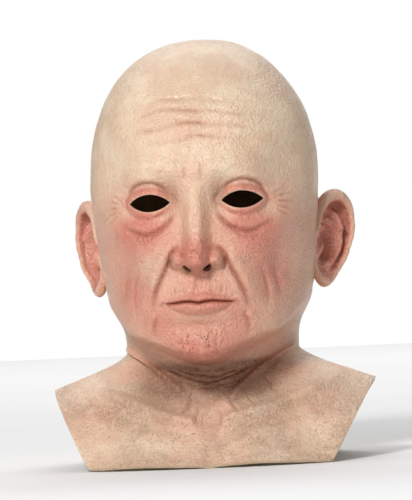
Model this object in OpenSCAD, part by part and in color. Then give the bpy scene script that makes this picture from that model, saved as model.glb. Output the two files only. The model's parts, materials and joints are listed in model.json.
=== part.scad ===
// Full-head latex character mask: a thin rubber skin cast in two halves, with glued-on ears,
// a folding closure at the back of the neck, and the tapes and pads inside.
// The mask faces -Y, +Z is up and +X is the mask's own left. The origin lies midway between the
// ears, at the centre of the head that wears it. All sizes are in millimetres and degrees.

/* [Head] */
// Breadth of the head at its widest, outside
head_w = 173; // [140:1:210]
// Reach of the face in front of the ears, without the nose
face_depth = 97; // [80:1:118]
// Reach of the back of the head behind the ears
back_depth = 106; // [86:1:130]
// Height of the crown above the ears
crown_h = 136; // [112:1:165]
// Drop of the chin below the ears
chin_drop = 112; // [93:1:135]
// How far the tip of the nose stands out from the face
nose_reach = 24; // [18:1:30]

/* [Neck and bib] */
// Breadth of the neck
neck_w = 132; // [110:1:160]
// Reach of the throat in front of the ears
neck_front = 46; // [38:1:56]
// Reach of the nape behind the ears
neck_back = 76; // [63:1:92]
// Breadth of the bib from shoulder tip to shoulder tip
bib_w = 246; // [205:1:296]
// Drop of the shoulder tips below the ears
tip_drop = 127; // [120:1:150]
// Drop of the front hem below the ears
hem_drop = 184; // [165:1:228]
// Breadth of the straight front hem
hem_w = 184; // [155:1:220]
// Reach of the front hem's middle in front of the ears
hem_reach = 84; // [70:1:100]
// Drop of the back hem below the ears
back_hem_drop = 176; // [150:1:212]
// Breadth of the straight back hem
back_hem_w = 176; // [147:1:212]
// Reach of the back hem's middle behind the ears
back_hem_reach = 112; // [95:1:134]

/* [Skin] */
// Thickness of the latex
skin_t = 2.5; // [2:0.1:3.2]
// Width of each eye opening
eye_w = 31; // [26:1:37]
// Height of each eye opening
eye_h = 13; // [11:1:16]
// Radius of each nostril
nostril_r = 3.6; // [3:0.1:4.4]

/* [Ears] */
// Height of an ear
ear_h = 75; // [63:1:90]
// Width of an ear
ear_w = 42; // [35:1:50]
// How far the ears flare out from the side of the head, in degrees
ear_flare = 34; // [28:1:41]
// How much more the left ear flares, and how much less the right one
flare_skew = 6; // [5:1:7]

/* [Back closure] */
// Drop of the slit's top end below the ears
slit_top = 62; // [52:1:74]
// Width of the folding flap at the back hem
flap_w = 60; // [50:1:72]
// Width of the hook tape and of the loop tape
tape_w = 18; // [15:1:21]
// Thickness of the hook tape and of the loop tape
tape_t = 1; // [0.8:0.1:1.2]
// Thickness of the underlap that the flap closes on
placket_t = 1.6; // [1.3:0.1:2]

/* [Lining] */
// Width of the cloth tape inside each side seam
seam_tape_w = 16; // [13:1:20]
// Thickness of the seam tape
seam_tape_t = 0.8; // [0.6:0.1:1]
// Thickness of the foam pads
pad_t = 7; // [5.8:0.1:8.4]
// Height of the brow pad
brow_pad_h = 34; // [28:1:41]
// Diameter of the crown pad, measured across the skin
crown_pad_d = 104; // [86:1:125]
// Height of the chin pad
chin_pad_h = 20; // [16:1:24]

/* [Hidden] */

// Clearances: a glue line, and the room between the flap and what it closes on
glue = 0.4;
room = 0.35;
// Thicker bead of glue under the foam pads
pad_glue = 0.8;
// Gaps along the slit, where the swinging flap needs more room, and along the fold
slit_gap = 2.1;
fold_gap = 0.8;

// Heights of the face, by the rule of halves and thirds
head_h = crown_h + chin_drop;
temple_z = crown_h - 0.42 * head_h;
eye_z = crown_h - head_h / 2;
brow_z = eye_z + 0.095 * head_h;
third = (brow_z + chin_drop) / 2;
nose_z = brow_z - third;
mouth_z = nose_z - third / 3;
jaw_corner_z = nose_z - 0.22 * head_h;
nape_z = nose_z - 0.17 * head_h;
eye_x = head_w / 5;

// Where the neck becomes the bib, below the ears
neck_base_side = max(tip_drop - 30, 8 - jaw_corner_z);
neck_base_front = chin_drop + 12;
neck_base_back = max(slit_top + 30, 8 - nape_z);

// Height over which the head turns in to the neck, at the chin, under the ears and at the nape
chin_turn = 15;
jaw_turn = 34;
nape_turn = 50;
neck_blend = 18;
dome_power = 2.12;
section_power = 2.25;

// Angles from the front at which the hem turns its corners
hem_corner = atan2(hem_w / 2, hem_reach - 16);
back_corner = 180 - atan2(back_hem_w / 2, back_hem_reach - 18);
hem_corner_r = norm([hem_w / 2, hem_reach - 16]);
back_corner_r = norm([back_hem_w / 2, back_hem_reach - 18]);

// Share of the widest section at each height: [height, side, front, back]
sections = [
    [temple_z, 1, 1, 1],
    [0, 0.975, 0.975, 0.975],
    [nose_z, 0.93, 0.975, 0.90],
    [mouth_z - 8, 0.86, 0.975, 0.76],
    [-chin_drop, 0.66, 0.93, 0.62],
    [-chin_drop - 45, 0.55, 0.86, 0.58]
];

function mix(a, b, t) = a + (b - a) * t;
function clamp(t) = min(max(t, 0), 1);
function smooth(t) = let (c = clamp(t)) c * c * (3 - 2 * c);
function bell(d, width) = exp(-d * d / (width * width));
function soft_max(a, b, k) = max(a, b) + pow(max(k - abs(a - b), 0), 2) / (4 * k);

// The section at height z, by a smooth curve through the sections table
function slope(i, k) =
    i == 0 ? 0
    : i == len(sections) - 1 ? 0
    : (sections[i + 1][k] - sections[i - 1][k]) / (sections[i + 1][0] - sections[i - 1][0]);
function span(z, i = 0) = i < len(sections) - 2 && z < sections[i + 1][0] ? span(z, i + 1) : i;
function share(z, k) =
    let (
        i = span(z),
        h = sections[i + 1][0] - sections[i][0],
        t = clamp((z - sections[i][0]) / h),
        t2 = t * t,
        t3 = t2 * t
    )
    (2 * t3 - 3 * t2 + 1) * sections[i][k] + (t3 - 2 * t2 + t) * h * slope(i, k)
    + (3 * t2 - 2 * t3) * sections[i + 1][k] + (t3 - t2) * h * slope(i + 1, k);

// Radius of an oval with its own reach to the side, front and back, at an angle from the front
function oval(th, side, front, back, power) =
    let (reach = cos(th) > 0 ? front : back)
    1 / pow(pow(abs(sin(th)) / side, power) + pow(abs(cos(th)) / reach, power), 1 / power);

// The face's relief over the plain head, by place seen from the front
function relief(x, z) =
    let (
        across = abs(x),
        bridge = clamp((eye_z + 8 - z) / (eye_z + 8 - nose_z)),
        nose = z > nose_z
            ? mix(7, nose_reach, pow(bridge, 1.3)) * smooth((eye_z + 22 - z) / 18)
            : nose_reach * smooth((z - nose_z + 9) / 9),
        nose_width = mix(9, 17, smooth(bridge * 1.1))
    )
    nose * bell(x, nose_width)
    + 5 * bell(z - brow_z, 9) * bell(across - 26, 24)
    - 8 * bell(z - eye_z, 11) * bell(across - eye_x, 17)
    + 3 * bell(z + 18, 16) * bell(across - 48, 18)
    + 6 * bell(z - mouth_z, 10) * bell(x, 24)
    - 3 * bell(z - mouth_z + 16, 5) * bell(x, 20)
    + 6 * bell(z + chin_drop - 14, 15) * bell(x, 20);

// A value that changes smoothly from the front to the side to the back
function around(th, front, side, back) =
    let (turn = abs(th) > 180 ? 360 - abs(th) : abs(th))
    turn < 90 ? mix(front, side, smooth(turn / 90)) : mix(side, back, smooth(turn / 90 - 1));

// How high the lower edge of the jaw and nape lies at an angle from the front
function jaw_z(th) = around(th, -chin_drop, jaw_corner_z, nape_z);

function column_r(th, z) =
    let (
        head = oval(th, share(z, 1) * head_w / 2, share(z, 2) * face_depth, share(z, 3) * back_depth,
                    section_power),
        neck = oval(th, neck_w / 2, neck_front, neck_back, 2.1),
        turn_h = around(th, chin_turn, jaw_turn, nape_turn),
        turned = smooth((jaw_z(th) + turn_h - z) / turn_h),
        plain = mix(soft_max(head, neck, neck_blend), neck, turned)
    )
    cos(th) > 0 ? plain + relief(plain * sin(th), z) * smooth(cos(th) * 2) * (1 - turned) : plain;

function neck_base_z(th) =
    -mix(neck_base_side, cos(th) > 0 ? neck_base_front : neck_base_back, pow(cos(th), 2));

// The hem: straight lines seen from the front, with a corner at each side and a tip at each shoulder
function hem_r(turn) =
    turn < hem_corner ? mix(hem_reach, hem_corner_r, pow(turn / hem_corner, 2))
    : turn < 90 ? mix(hem_corner_r, bib_w / 2, (turn - hem_corner) / (90 - hem_corner))
    : turn < back_corner ? mix(bib_w / 2, back_corner_r, (turn - 90) / (back_corner - 90))
    : mix(back_hem_reach, back_corner_r, pow((180 - turn) / (180 - back_corner), 2));
function hem_z(turn) =
    let (
        x = hem_r(turn) * sin(turn),
        corner_x = (turn < 90 ? hem_w : back_hem_w) / 2,
        drop = turn < 90 ? hem_drop : back_hem_drop
    )
    -mix(drop, tip_drop, clamp((x - corner_x) / (bib_w / 2 - corner_x)));

function at(th, r, z) = [r * sin(th), -r * cos(th), z];

// Height of a way between the temples (1), the edge of the jaw (jaw_way) and the base of the neck (2)
jaw_way = 1.68;
function level(th, way) =
    way < jaw_way ? mix(temple_z, jaw_z(th), (way - 1) / (jaw_way - 1))
    : mix(jaw_z(th), neck_base_z(th), (way - jaw_way) / (2 - jaw_way));

// A point of the outer surface. way runs from 0 at the crown through 1 at the temples and 2 at the
// base of the neck to 3 at the hem.
function outer(th, way) =
    way <= 1
    ? let (
        up = cos(90 * way),
        r = pow(1 - pow(up, dome_power), 1 / dome_power) * column_r(th, temple_z)
    )
    at(th, r, temple_z + (crown_h - temple_z) * up)
    : way <= 2 ? at(th, column_r(th, level(th, way)), level(th, way))
    : let (
        turn = abs(th) > 180 ? 360 - abs(th) : abs(th),
        t = way - 2,
        z0 = neck_base_z(th),
        r0 = column_r(th, z0),
        r1 = hem_r(turn),
        z1 = hem_z(turn),
        r_mid = mix(r0, r1, 0.06),
        z_mid = mix(z0, z1, 0.32),
        r = mix(mix(r0, r_mid, t), mix(r_mid, r1, t), t),
        z = mix(mix(z0, z_mid, t), mix(z_mid, z1, t), t)
    )
    at(th, r, z);

function normal(th, way) =
    way < 0.01 ? [0, 0, 1]
    : let (
        across = outer(th + 1, way) - outer(th - 1, way),
        down = outer(th, min(way + 0.02, 3)) - outer(th, max(way - 0.02, 0.001)),
        n = cross(down, across)
    )
    n / norm(n);

// The way at which the surface reaches height z, between the crown and the base of the neck
function way_at(th, z) =
    z > temple_z ? acos((z - temple_z) / (crown_h - temple_z)) / 90
    : z > jaw_z(th) ? mix(1, jaw_way, (temple_z - z) / (temple_z - jaw_z(th)))
    : mix(jaw_way, 2, (jaw_z(th) - z) / (jaw_z(th) - neck_base_z(th)));

// A row of angles: evenly spaced within each stretch between stops
function spread(stops, counts) =
    concat(
        [for (s = [0:len(counts) - 1])
            for (k = [0:counts[s] - 1]) mix(stops[s], stops[s + 1], k / counts[s])],
        [stops[len(stops) - 1]]
    );

// A closed slab under the outer surface. Each entry of the grid is [angle, way, depth of its outer
// face, depth of its inner face]. The columns after the one numbered split may part from it.
module slab(grid, split = -1) {
    rows = len(grid);
    cols = len(grid[0]);
    points = [
        for (layer = [2, 3]) for (row = grid) for (g = row) outer(g[0], g[1]) - g[layer] * normal(g[0], g[1])
    ];
    function id(layer, i, j) = (layer * rows + i) * cols + j;
    function same(a, b) = norm(points[a] - points[b]) < 0.001;
    function quad(a, b, c, d) = concat(
        same(a, b) || same(b, c) || same(a, c) ? [] : [[a, b, c]],
        same(a, c) || same(c, d) || same(a, d) ? [] : [[a, c, d]]
    );
    function parts(i) = !same(id(0, i, split), id(0, i, split + 1))
        || !same(id(0, i + 1, split), id(0, i + 1, split + 1));
    closed = same(id(0, rows - 1, 0), id(0, rows - 1, cols - 1));
    function wall_right(i, j) = quad(id(0, i, j), id(1, i, j), id(1, i + 1, j), id(0, i + 1, j));
    function wall_left(i, j) = quad(id(0, i, j), id(0, i + 1, j), id(1, i + 1, j), id(1, i, j));
    faces = concat(
        [for (i = [0:rows - 2]) for (j = [0:cols - 2]) if (j != split) each
            quad(id(0, i, j), id(0, i, j + 1), id(0, i + 1, j + 1), id(0, i + 1, j))],
        [for (i = [0:rows - 2]) for (j = [0:cols - 2]) if (j != split) each
            quad(id(1, i, j), id(1, i + 1, j), id(1, i + 1, j + 1), id(1, i, j + 1))],
        closed ? [] : [for (i = [0:rows - 2]) each wall_left(i, 0)],
        closed ? [] : [for (i = [0:rows - 2]) each wall_right(i, cols - 1)],
        split < 0 ? [] : [for (i = [0:rows - 2]) if (parts(i)) each wall_right(i, split)],
        split < 0 ? [] : [for (i = [0:rows - 2]) if (parts(i)) each wall_left(i, split + 1)],
        [for (j = [0:cols - 2]) if (j != split) each
            quad(id(0, rows - 1, j), id(0, rows - 1, j + 1), id(1, rows - 1, j + 1), id(1, rows - 1, j))],
        [for (j = [0:cols - 2]) if (j != split) each
            quad(id(0, 0, j), id(1, 0, j), id(1, 0, j + 1), id(0, 0, j + 1))]
    );
    polyhedron(points, faces, convexity = 10);
}

// A closed solid lofted through closed rings of points
module loft(rings) {
    n = len(rings[0]);
    last = (len(rings) - 1) * n;
    faces = concat(
        [[for (j = [0:n - 1]) j]],
        [for (i = [0:len(rings) - 2]) for (j = [0:n - 1]) each
            let (a = i * n + j, b = i * n + (j + 1) % n) [[a, a + n, b + n], [a, b + n, b]]],
        [[for (j = [n - 1:-1:0]) last + j]]
    );
    polyhedron([for (ring = rings) each ring], faces, convexity = 6);
}

// Rows of ways that both castings share, so that they meet along the side seams: down the dome,
// to the level of the slit's top end, on to the base of the neck, and out to the hem
slit_way = way_at(180, -slit_top);
skin_ways = spread([0, 1, slit_way, 2, 3], [11, 15, 12, 8]);
face_angles = spread([-90, -hem_corner, 0, hem_corner, 90], [5, 9, 9, 5]);
rear_angles = spread([90, back_corner, 180, 360 - back_corner, 270], [5, 5, 5, 5]);

// The skin's own rows or columns from a to b, so that what lies on the skin has the same facets
function stretch(a, b, skin) = concat([a], [for (s = skin) if (s > a + 0.01 && s < b - 0.01) s], [b]);

// The front casting: face, throat and chest, from side seam to side seam
module face_skin() {
    color("BurlyWood") difference() {
        slab([for (w = skin_ways) [for (th = face_angles) [th, w, 0, skin_t]]]);
        for (side = [-1, 1]) {
            translate([side * eye_x, -face_depth / 2, eye_z]) eye_cutter();
            translate([side * 7.5, -face_depth - nose_reach * 0.45, nose_z - 14])
                cylinder(r = nostril_r, h = 18, $fn = 24);
        }
    }
}

// The almond outline of an eye opening, driven through the skin
module eye_cutter() {
    arc_r = (eye_w * eye_w + eye_h * eye_h) / (4 * eye_h);
    rotate([90, 0, 0]) linear_extrude(face_depth) intersection() {
        translate([0, arc_r - eye_h / 2]) circle(arc_r, $fn = 96);
        translate([0, eye_h / 2 - arc_r]) circle(arc_r, $fn = 96);
    }
}

// The slit and fold at the back. The slit runs down the middle, and the fold runs from its top
// end out to the hem on the mask's right.
function fold_turn(way, width) =
    let (
        p = outer(180, way),
        along = (-slit_top - p[2]) / (back_hem_drop - slit_top)
    )
    asin(clamp(along) * width / p[1]);
function gap_turn(way, gap) = gap / outer(180, way)[1] * 180 / PI;

// The rear casting: back of the head, nape and upper back, with the notch that the flap fills
module rear_skin() {
    left = [for (th = rear_angles) if (th < 180.01) th];
    color("Tan") slab(
        [for (w = skin_ways)
            let (
                fold = w <= slit_way ? 180 : 180 + fold_turn(w, flap_w),
                right = spread([fold, 360 - back_corner, 270], [5, 5])
            )
            [for (th = concat(left, right)) [th, w, 0, skin_t]]],
        split = len(left) - 1
    );
}

// The folding flap: a three-cornered piece of the rear skin between the slit and the fold
module back_flap() {
    color("Wheat") slab([
        for (w = stretch(mix(slit_way, 3, 0.1), 3, skin_ways))
            let (
                first = 180 + gap_turn(w, slit_gap),
                last = 180 + fold_turn(w, flap_w) - gap_turn(w, fold_gap)
            )
            [for (s = [0:5]) [mix(first, last, s / 5), w, 0, skin_t]]
    ]);
}

// Depths of the closure's layers under the outer surface
hook_depth = skin_t + glue;
loop_depth = hook_depth + tape_t + room;
placket_depth = loop_depth + tape_t + glue;
// Where the flap is wide enough for the tape
tape_top_way = mix(slit_way, 3, 0.55);
tape_end_way = 2.93;

module tape_grid(depth) {
    slab([
        for (w = stretch(tape_top_way, tape_end_way, skin_ways))
            let (unit = 180 / PI / outer(180, w)[1])
            [for (s = [0:3]) [180 + (3 + tape_w * s / 3) * unit, w, depth, depth + tape_t]]
    ]);
}

module hook_tape() {
    color("DimGray") tape_grid(hook_depth);
}

module loop_tape() {
    color("Gray") tape_grid(loop_depth);
}

// The underlap: glued inside the left edge of the slit, it reaches under the flap
module placket() {
    reach = tape_w + 6;
    color("Khaki") slab([
        for (w = stretch(slit_way - 0.08, 2.96, skin_ways))
            let (
                unit = 180 / PI / outer(180, w)[1],
                bottom = placket_depth + placket_t
            )
            [
                [180 - 20 * unit, w, skin_t + glue, bottom],
                [180 - 8 * unit, w, skin_t + glue, bottom],
                [180 - 5 * unit, w, placket_depth, bottom],
                [180 + reach / 2 * unit, w, placket_depth, bottom],
                [180 + reach * unit, w, placket_depth, bottom]
            ]
    ]);
}

// Cloth tape glued inside along one side seam, from the crown pad down to the hem
module seam_tape() {
    depth = skin_t + glue;
    color("Ivory") slab([
        for (w = stretch(0.55, 2.95, skin_ways))
            let (half = seam_tape_w / 2 / outer(90, w)[0] * 180 / PI)
            [for (s = [-1, 0, 1]) [90 + s * half, w, depth, depth + seam_tape_t]]
    ]);
}

module left_seam_tape() {
    seam_tape();
}

module right_seam_tape() {
    mirror([1, 0, 0]) seam_tape();
}

// Foam pads that hold the eye openings level with the wearer's eyes
module pad(grid) {
    depth = skin_t + pad_glue;
    slab([for (row = grid) [for (g = row) [g[0], g[1], depth, depth + pad_t]]]);
}

module brow_pad() {
    low_z = brow_z + 8;
    color("LightGray") pad([
        for (w = stretch(way_at(0, low_z + brow_pad_h), way_at(0, low_z), skin_ways))
            [for (th = stretch(-36, 36, face_angles)) [th, w]]
    ]);
}

module crown_pad() {
    edge_way = crown_pad_d / head_w * 0.75;
    columns = concat(face_angles, [for (th = rear_angles) if (th > 90.01) th]);
    color("LightGray") pad([for (w = stretch(0, edge_way, skin_ways)) [for (th = columns) [th, w]]]);
}

module chin_pad() {
    low_z = chin_turn + 3 - chin_drop;
    color("LightGray") pad([
        for (w = stretch(way_at(0, low_z + chin_pad_h), way_at(0, low_z), skin_ways))
            [for (th = face_angles) if (abs(th) < 19) [th, w]]
    ]);
}

// An ear: a dished oval, broad above and drawn in to the lobe, that flares out from the side of the head.
// It is cut to the skin it is glued to.
// Each row of the profile is [share of the outline, height of the surface over the ear's plane].
ear_profile = [
    [0.06, -7], [0.35, -6], [0.62, -1], [0.8, 2.5], [0.92, 3.5], [1, 1.5],
    [0.98, -2], [0.85, -5], [0.6, -10], [0.3, -13]
];
ear_mid_z = -20;
ear_root = [outer(92, way_at(92, ear_mid_z))[0], 2];
ear_lean = 12;

module ear(flare) {
    turns = 24;
    reach = ear_w / 2 - 4;
    rings = [
        for (row = ear_profile)
            [for (k = [0:turns - 1])
                let (
                    t = 360 * k / turns,
                    wide = ear_w / 2 * ((1 + 0.24 * sin(t)) * cos(t) - 0.12 * (1 - sin(t)) + 0.06),
                    tall = ear_h / 2 * sin(t)
                )
                [wide * row[0], row[1], tall * row[0]]]
    ];
    difference() {
        translate([ear_root[0] + sin(flare) * reach, ear_root[1] + cos(flare) * reach, ear_mid_z])
            rotate([0, 0, 90 - flare]) rotate([0, ear_lean, 0])
            mirror([0, 1, 0]) loft(rings);
        slab([
            for (k = [0:12])
                let (z = ear_mid_z + ear_h * (0.75 - 1.5 * k / 12))
                [for (th = [60:6:132]) [th, way_at(th, max(z, neck_base_z(th) + 2)), -glue, 24]]
        ]);
    }
}

module left_ear() {
    color("DarkSalmon") ear(ear_flare + flare_skew);
}

module right_ear() {
    color("DarkSalmon") mirror([1, 0, 0]) ear(ear_flare - flare_skew);
}

face_skin();
rear_skin();
left_ear();
right_ear();
left_seam_tape();
right_seam_tape();
brow_pad();
crown_pad();
chin_pad();
placket();
loop_tape();
back_flap();
hook_tape();
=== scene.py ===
import json
import math

import bmesh
import bpy
import numpy as np
from mathutils import Matrix, Vector


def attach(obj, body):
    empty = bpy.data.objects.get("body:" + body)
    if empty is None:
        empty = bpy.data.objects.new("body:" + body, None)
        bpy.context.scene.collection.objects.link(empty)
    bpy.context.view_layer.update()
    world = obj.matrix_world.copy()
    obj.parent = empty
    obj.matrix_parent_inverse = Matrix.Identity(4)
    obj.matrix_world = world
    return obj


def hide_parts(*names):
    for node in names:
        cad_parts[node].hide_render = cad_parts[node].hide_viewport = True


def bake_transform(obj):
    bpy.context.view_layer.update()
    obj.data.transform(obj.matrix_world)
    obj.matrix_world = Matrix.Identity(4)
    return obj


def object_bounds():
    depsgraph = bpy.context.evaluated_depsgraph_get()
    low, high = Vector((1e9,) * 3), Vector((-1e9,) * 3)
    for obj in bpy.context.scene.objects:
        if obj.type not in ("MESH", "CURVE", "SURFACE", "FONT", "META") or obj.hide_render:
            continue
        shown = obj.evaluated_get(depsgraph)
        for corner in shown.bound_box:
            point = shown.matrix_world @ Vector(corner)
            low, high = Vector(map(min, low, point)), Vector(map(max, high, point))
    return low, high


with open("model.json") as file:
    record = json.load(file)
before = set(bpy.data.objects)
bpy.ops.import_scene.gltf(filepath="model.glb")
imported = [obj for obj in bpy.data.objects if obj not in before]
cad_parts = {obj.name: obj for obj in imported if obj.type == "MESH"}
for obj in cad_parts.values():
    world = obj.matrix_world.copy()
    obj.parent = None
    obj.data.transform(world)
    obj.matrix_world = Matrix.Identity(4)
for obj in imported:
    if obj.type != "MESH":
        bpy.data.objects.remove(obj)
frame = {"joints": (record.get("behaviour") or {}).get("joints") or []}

# A full-head latex mask: skins, ears, closure and lining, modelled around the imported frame.
# Shapes are worked out in millimetres and written in metres. The face looks along -Y.
MM = 0.001
cad_low, cad_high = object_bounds()

# Driving sizes, the same as the construction model's
HEAD_W, FACE_DEPTH, BACK_DEPTH = 173, 97, 106
CROWN_H, CHIN_DROP = 136, 112
NECK_W, NECK_FRONT, NECK_BACK = 132, 46, 76
BIB_W, TIP_DROP, HEM_DROP, HEM_W, HEM_REACH = 246, 127, 184, 184, 84
BACK_HEM_DROP, BACK_HEM_W, BACK_HEM_REACH = 176, 176, 112
SKIN_T = 2.5
EYE_W, EYE_H = 31, 13
NOSTRIL_R = 3.6
EAR_H, EAR_W, EAR_FLARE, FLARE_SKEW, EAR_MID_Z, EAR_LEAN = 75, 42, 34, 6, -20, 12
EAR_TURN = 97
SLIT_TOP, FLAP_W, SLIT_GAP, FOLD_GAP = 62, 60, 2.1, 0.06
TAPE_W, TAPE_T, PLACKET_T, SEAM_TAPE_W, SEAM_TAPE_T = 18, 1, 1.6, 16, 0.8
PAD_T, PAD_CORNER, BROW_PAD_H, CROWN_PAD_D, CHIN_PAD_H = 7, 6, 34, 104, 20
GLUE, ROOM, PAD_GLUE = 0.4, 0.35, 0.8

# The face, by the rule of halves and thirds
HEAD_H = CROWN_H + CHIN_DROP
TEMPLE_Z = CROWN_H - 0.42 * HEAD_H
EYE_Z = CROWN_H - HEAD_H / 2
BROW_Z = EYE_Z + 0.095 * HEAD_H
NOSE_Z = BROW_Z - (BROW_Z + CHIN_DROP) / 2
MOUTH_Z = NOSE_Z - (BROW_Z + CHIN_DROP) / 6
JAW_CORNER_Z = NOSE_Z - 0.22 * HEAD_H
NAPE_Z = NOSE_Z - 0.17 * HEAD_H
EYE_X = HEAD_W / 5
MOUTH_HALF = 26.5
NECK_BASE_FRONT = CHIN_DROP + 12
NECK_BASE_SIDE = max(TIP_DROP - 30, 8 - JAW_CORNER_Z)
NECK_BASE_BACK = max(SLIT_TOP + 30, 8 - NAPE_Z)
CHIN_TURN, JAW_TURN, NAPE_TURN, NECK_BLEND = 15, 34, 50, 18
DOME_POWER, SECTION_POWER, NECK_POWER = 2.12, 2.25, 2.1
HEM_CORNER = math.degrees(math.atan2(HEM_W / 2, HEM_REACH - 16))
BACK_CORNER = 180 - math.degrees(math.atan2(BACK_HEM_W / 2, BACK_HEM_REACH - 18))
HEM_CORNER_R = math.hypot(HEM_W / 2, HEM_REACH - 16)
BACK_CORNER_R = math.hypot(BACK_HEM_W / 2, BACK_HEM_REACH - 18)
JAW_WAY = 1.68
# Share of the widest section at each height: height, side, front, back
SECTIONS = np.array([
    [TEMPLE_Z, 1, 1, 1],
    [0, 0.975, 0.975, 0.975],
    [NOSE_Z, 0.93, 0.975, 0.90],
    [MOUTH_Z - 8, 0.86, 0.975, 0.76],
    [-CHIN_DROP, 0.66, 0.93, 0.62],
    [-CHIN_DROP - 45, 0.55, 0.86, 0.58],
])


# ---------------------------------------------------------------- camera

def make_camera():
    """Straight at the face from 5 degrees to its left, rolled a little, framed as a portrait."""
    azimuth, roll, distance = math.radians(5), math.radians(-2.7), 2.8
    view_height, sensor_height = 0.3825, 24
    aim_right, aim_up = -0.0005, -0.0245
    back = Vector((math.sin(azimuth), -math.cos(azimuth), 0))
    right = Vector((math.cos(azimuth), math.sin(azimuth), 0))
    up = back.cross(right)
    turned_right = right * math.cos(roll) + up * math.sin(roll)
    turned_up = up * math.cos(roll) - right * math.sin(roll)
    data = bpy.data.cameras.new("camera")
    data.sensor_fit = "VERTICAL"
    data.sensor_height = sensor_height
    data.lens = sensor_height * distance / view_height
    data.clip_start = 0.05
    camera = bpy.data.objects.new("camera", data)
    axes = Matrix((turned_right, turned_up, back)).transposed().to_4x4()
    target = turned_up * aim_up + turned_right * aim_right
    camera.matrix_world = Matrix.Translation(target + back * distance) @ axes
    bpy.context.scene.collection.objects.link(camera)
    bpy.context.scene.camera = camera


make_camera()


# ---------------------------------------------------------------- small functions

deg = math.radians


def mix(a, b, t):
    return a + (b - a) * t


def smooth(t):
    c = np.clip(t, 0, 1)
    return c * c * (3 - 2 * c)


def bell(d, width):
    return np.exp(-(d / width) ** 2)


def bump(dx, dz, wide, tall):
    return np.exp(-(dx / wide) ** 2 - (dz / tall) ** 2)


def spots(x, z, *marks):
    """Sum of soft spots, each by its strength, its place across and up, and its spread across and up."""
    return sum(strength * bump(x - px, z - pz, wide, tall) for strength, px, pz, wide, tall in marks)


def soft_max(a, b, k):
    return np.maximum(a, b) + np.maximum(k - np.abs(a - b), 0) ** 2 / (4 * k)


# ---------------------------------------------------------------- the plain form, as in the frame

def share(z, k):
    """Section share at each height, by a smooth curve through the table."""
    heights, values = SECTIONS[:, 0], SECTIONS[:, k]
    slopes = np.zeros(len(heights))
    slopes[1:-1] = (values[2:] - values[:-2]) / (heights[2:] - heights[:-2])
    i = np.clip(np.searchsorted(-heights, -z, side="left") - 1, 0, len(heights) - 2)
    h = heights[i + 1] - heights[i]
    t = np.clip((z - heights[i]) / h, 0, 1)
    t2, t3 = t * t, t * t * t
    return ((2 * t3 - 3 * t2 + 1) * values[i] + (t3 - 2 * t2 + t) * h * slopes[i]
            + (3 * t2 - 2 * t3) * values[i + 1] + (t3 - t2) * h * slopes[i + 1])


def oval(th, side, front, back, power):
    """Radius at each angle of a rounded section with its own reach to the side, front and back."""
    reach = np.where(np.cos(th) > 0, front, back)
    across, ahead = np.abs(np.sin(th)) / side, np.abs(np.cos(th)) / reach
    return 1 / (across ** power + ahead ** power) ** (1 / power)


def turn_of(th):
    """Angle from the front in degrees, 0 to 180."""
    return np.abs((np.degrees(th) + 180) % 360 - 180)


def around(th, front, side, back):
    """A value that runs smoothly from the front over the side to the back."""
    quarter = turn_of(th) / 90
    return np.where(quarter < 1, mix(front, side, smooth(quarter)), mix(side, back, smooth(quarter - 1)))


def jaw_z(th):
    return around(th, -CHIN_DROP, JAW_CORNER_Z, NAPE_Z)


def neck_base_z(th):
    base = np.where(np.cos(th) > 0, NECK_BASE_FRONT, NECK_BASE_BACK)
    return -mix(NECK_BASE_SIDE, base, np.cos(th) ** 2)


def turned_in(th, z):
    """0 on the head and 1 on the neck, across the jaw and nape."""
    turn_h = around(th, CHIN_TURN, JAW_TURN, NAPE_TURN)
    return smooth((jaw_z(th) + turn_h - z) / turn_h)


def column_r(th, z):
    """Radius of the head and neck at each angle and height."""
    side, front, back = share(z, 1) * HEAD_W / 2, share(z, 2) * FACE_DEPTH, share(z, 3) * BACK_DEPTH
    head = oval(th, side, front, back, SECTION_POWER)
    neck = oval(th, NECK_W / 2, NECK_FRONT, NECK_BACK, NECK_POWER)
    return mix(soft_max(head, neck, NECK_BLEND), neck, turned_in(th, z))


def level(th, way):
    """Height at each way from the temples down to the base of the neck."""
    return np.where(way < JAW_WAY, mix(TEMPLE_Z, jaw_z(th), (way - 1) / (JAW_WAY - 1)),
                    mix(jaw_z(th), neck_base_z(th), (way - JAW_WAY) / (2 - JAW_WAY)))


def way_at(th, z):
    """The way at which the surface reaches height z, above the base of the neck."""
    dome = np.degrees(np.arccos(np.clip((z - TEMPLE_Z) / (CROWN_H - TEMPLE_Z), 0, 1))) / 90
    jaw = jaw_z(th)
    side = mix(1, JAW_WAY, (TEMPLE_Z - z) / (TEMPLE_Z - jaw))
    low = mix(JAW_WAY, 2, (jaw - z) / (jaw - neck_base_z(th)))
    return np.where(z > TEMPLE_Z, dome, np.where(z > jaw, side, low))


def way_number(th, z):
    """The same for one angle and one height."""
    return float(way_at(np.array(float(th)), np.array(float(z))))


def hem(th):
    """Radius and height of the hem."""
    turn = turn_of(th)
    front = mix(HEM_REACH, HEM_CORNER_R, (turn / HEM_CORNER) ** 2)
    front_side = mix(HEM_CORNER_R, BIB_W / 2, (turn - HEM_CORNER) / (90 - HEM_CORNER))
    back_side = mix(BIB_W / 2, BACK_CORNER_R, (turn - 90) / (BACK_CORNER - 90))
    back = mix(BACK_HEM_REACH, BACK_CORNER_R, ((180 - turn) / (180 - BACK_CORNER)) ** 2)
    r = np.select([turn < HEM_CORNER, turn < 90, turn < BACK_CORNER], [front, front_side, back_side], back)
    x = r * np.sin(np.radians(turn))
    corner_x = np.where(turn < 90, HEM_W, BACK_HEM_W) / 2
    drop = np.where(turn < 90, HEM_DROP, BACK_HEM_DROP)
    return r, -mix(drop, TIP_DROP, np.clip((x - corner_x) / (BIB_W / 2 - corner_x), 0, 1))


def place(th, r, z):
    return np.stack([r * np.sin(th), -r * np.cos(th), z], -1)


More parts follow.
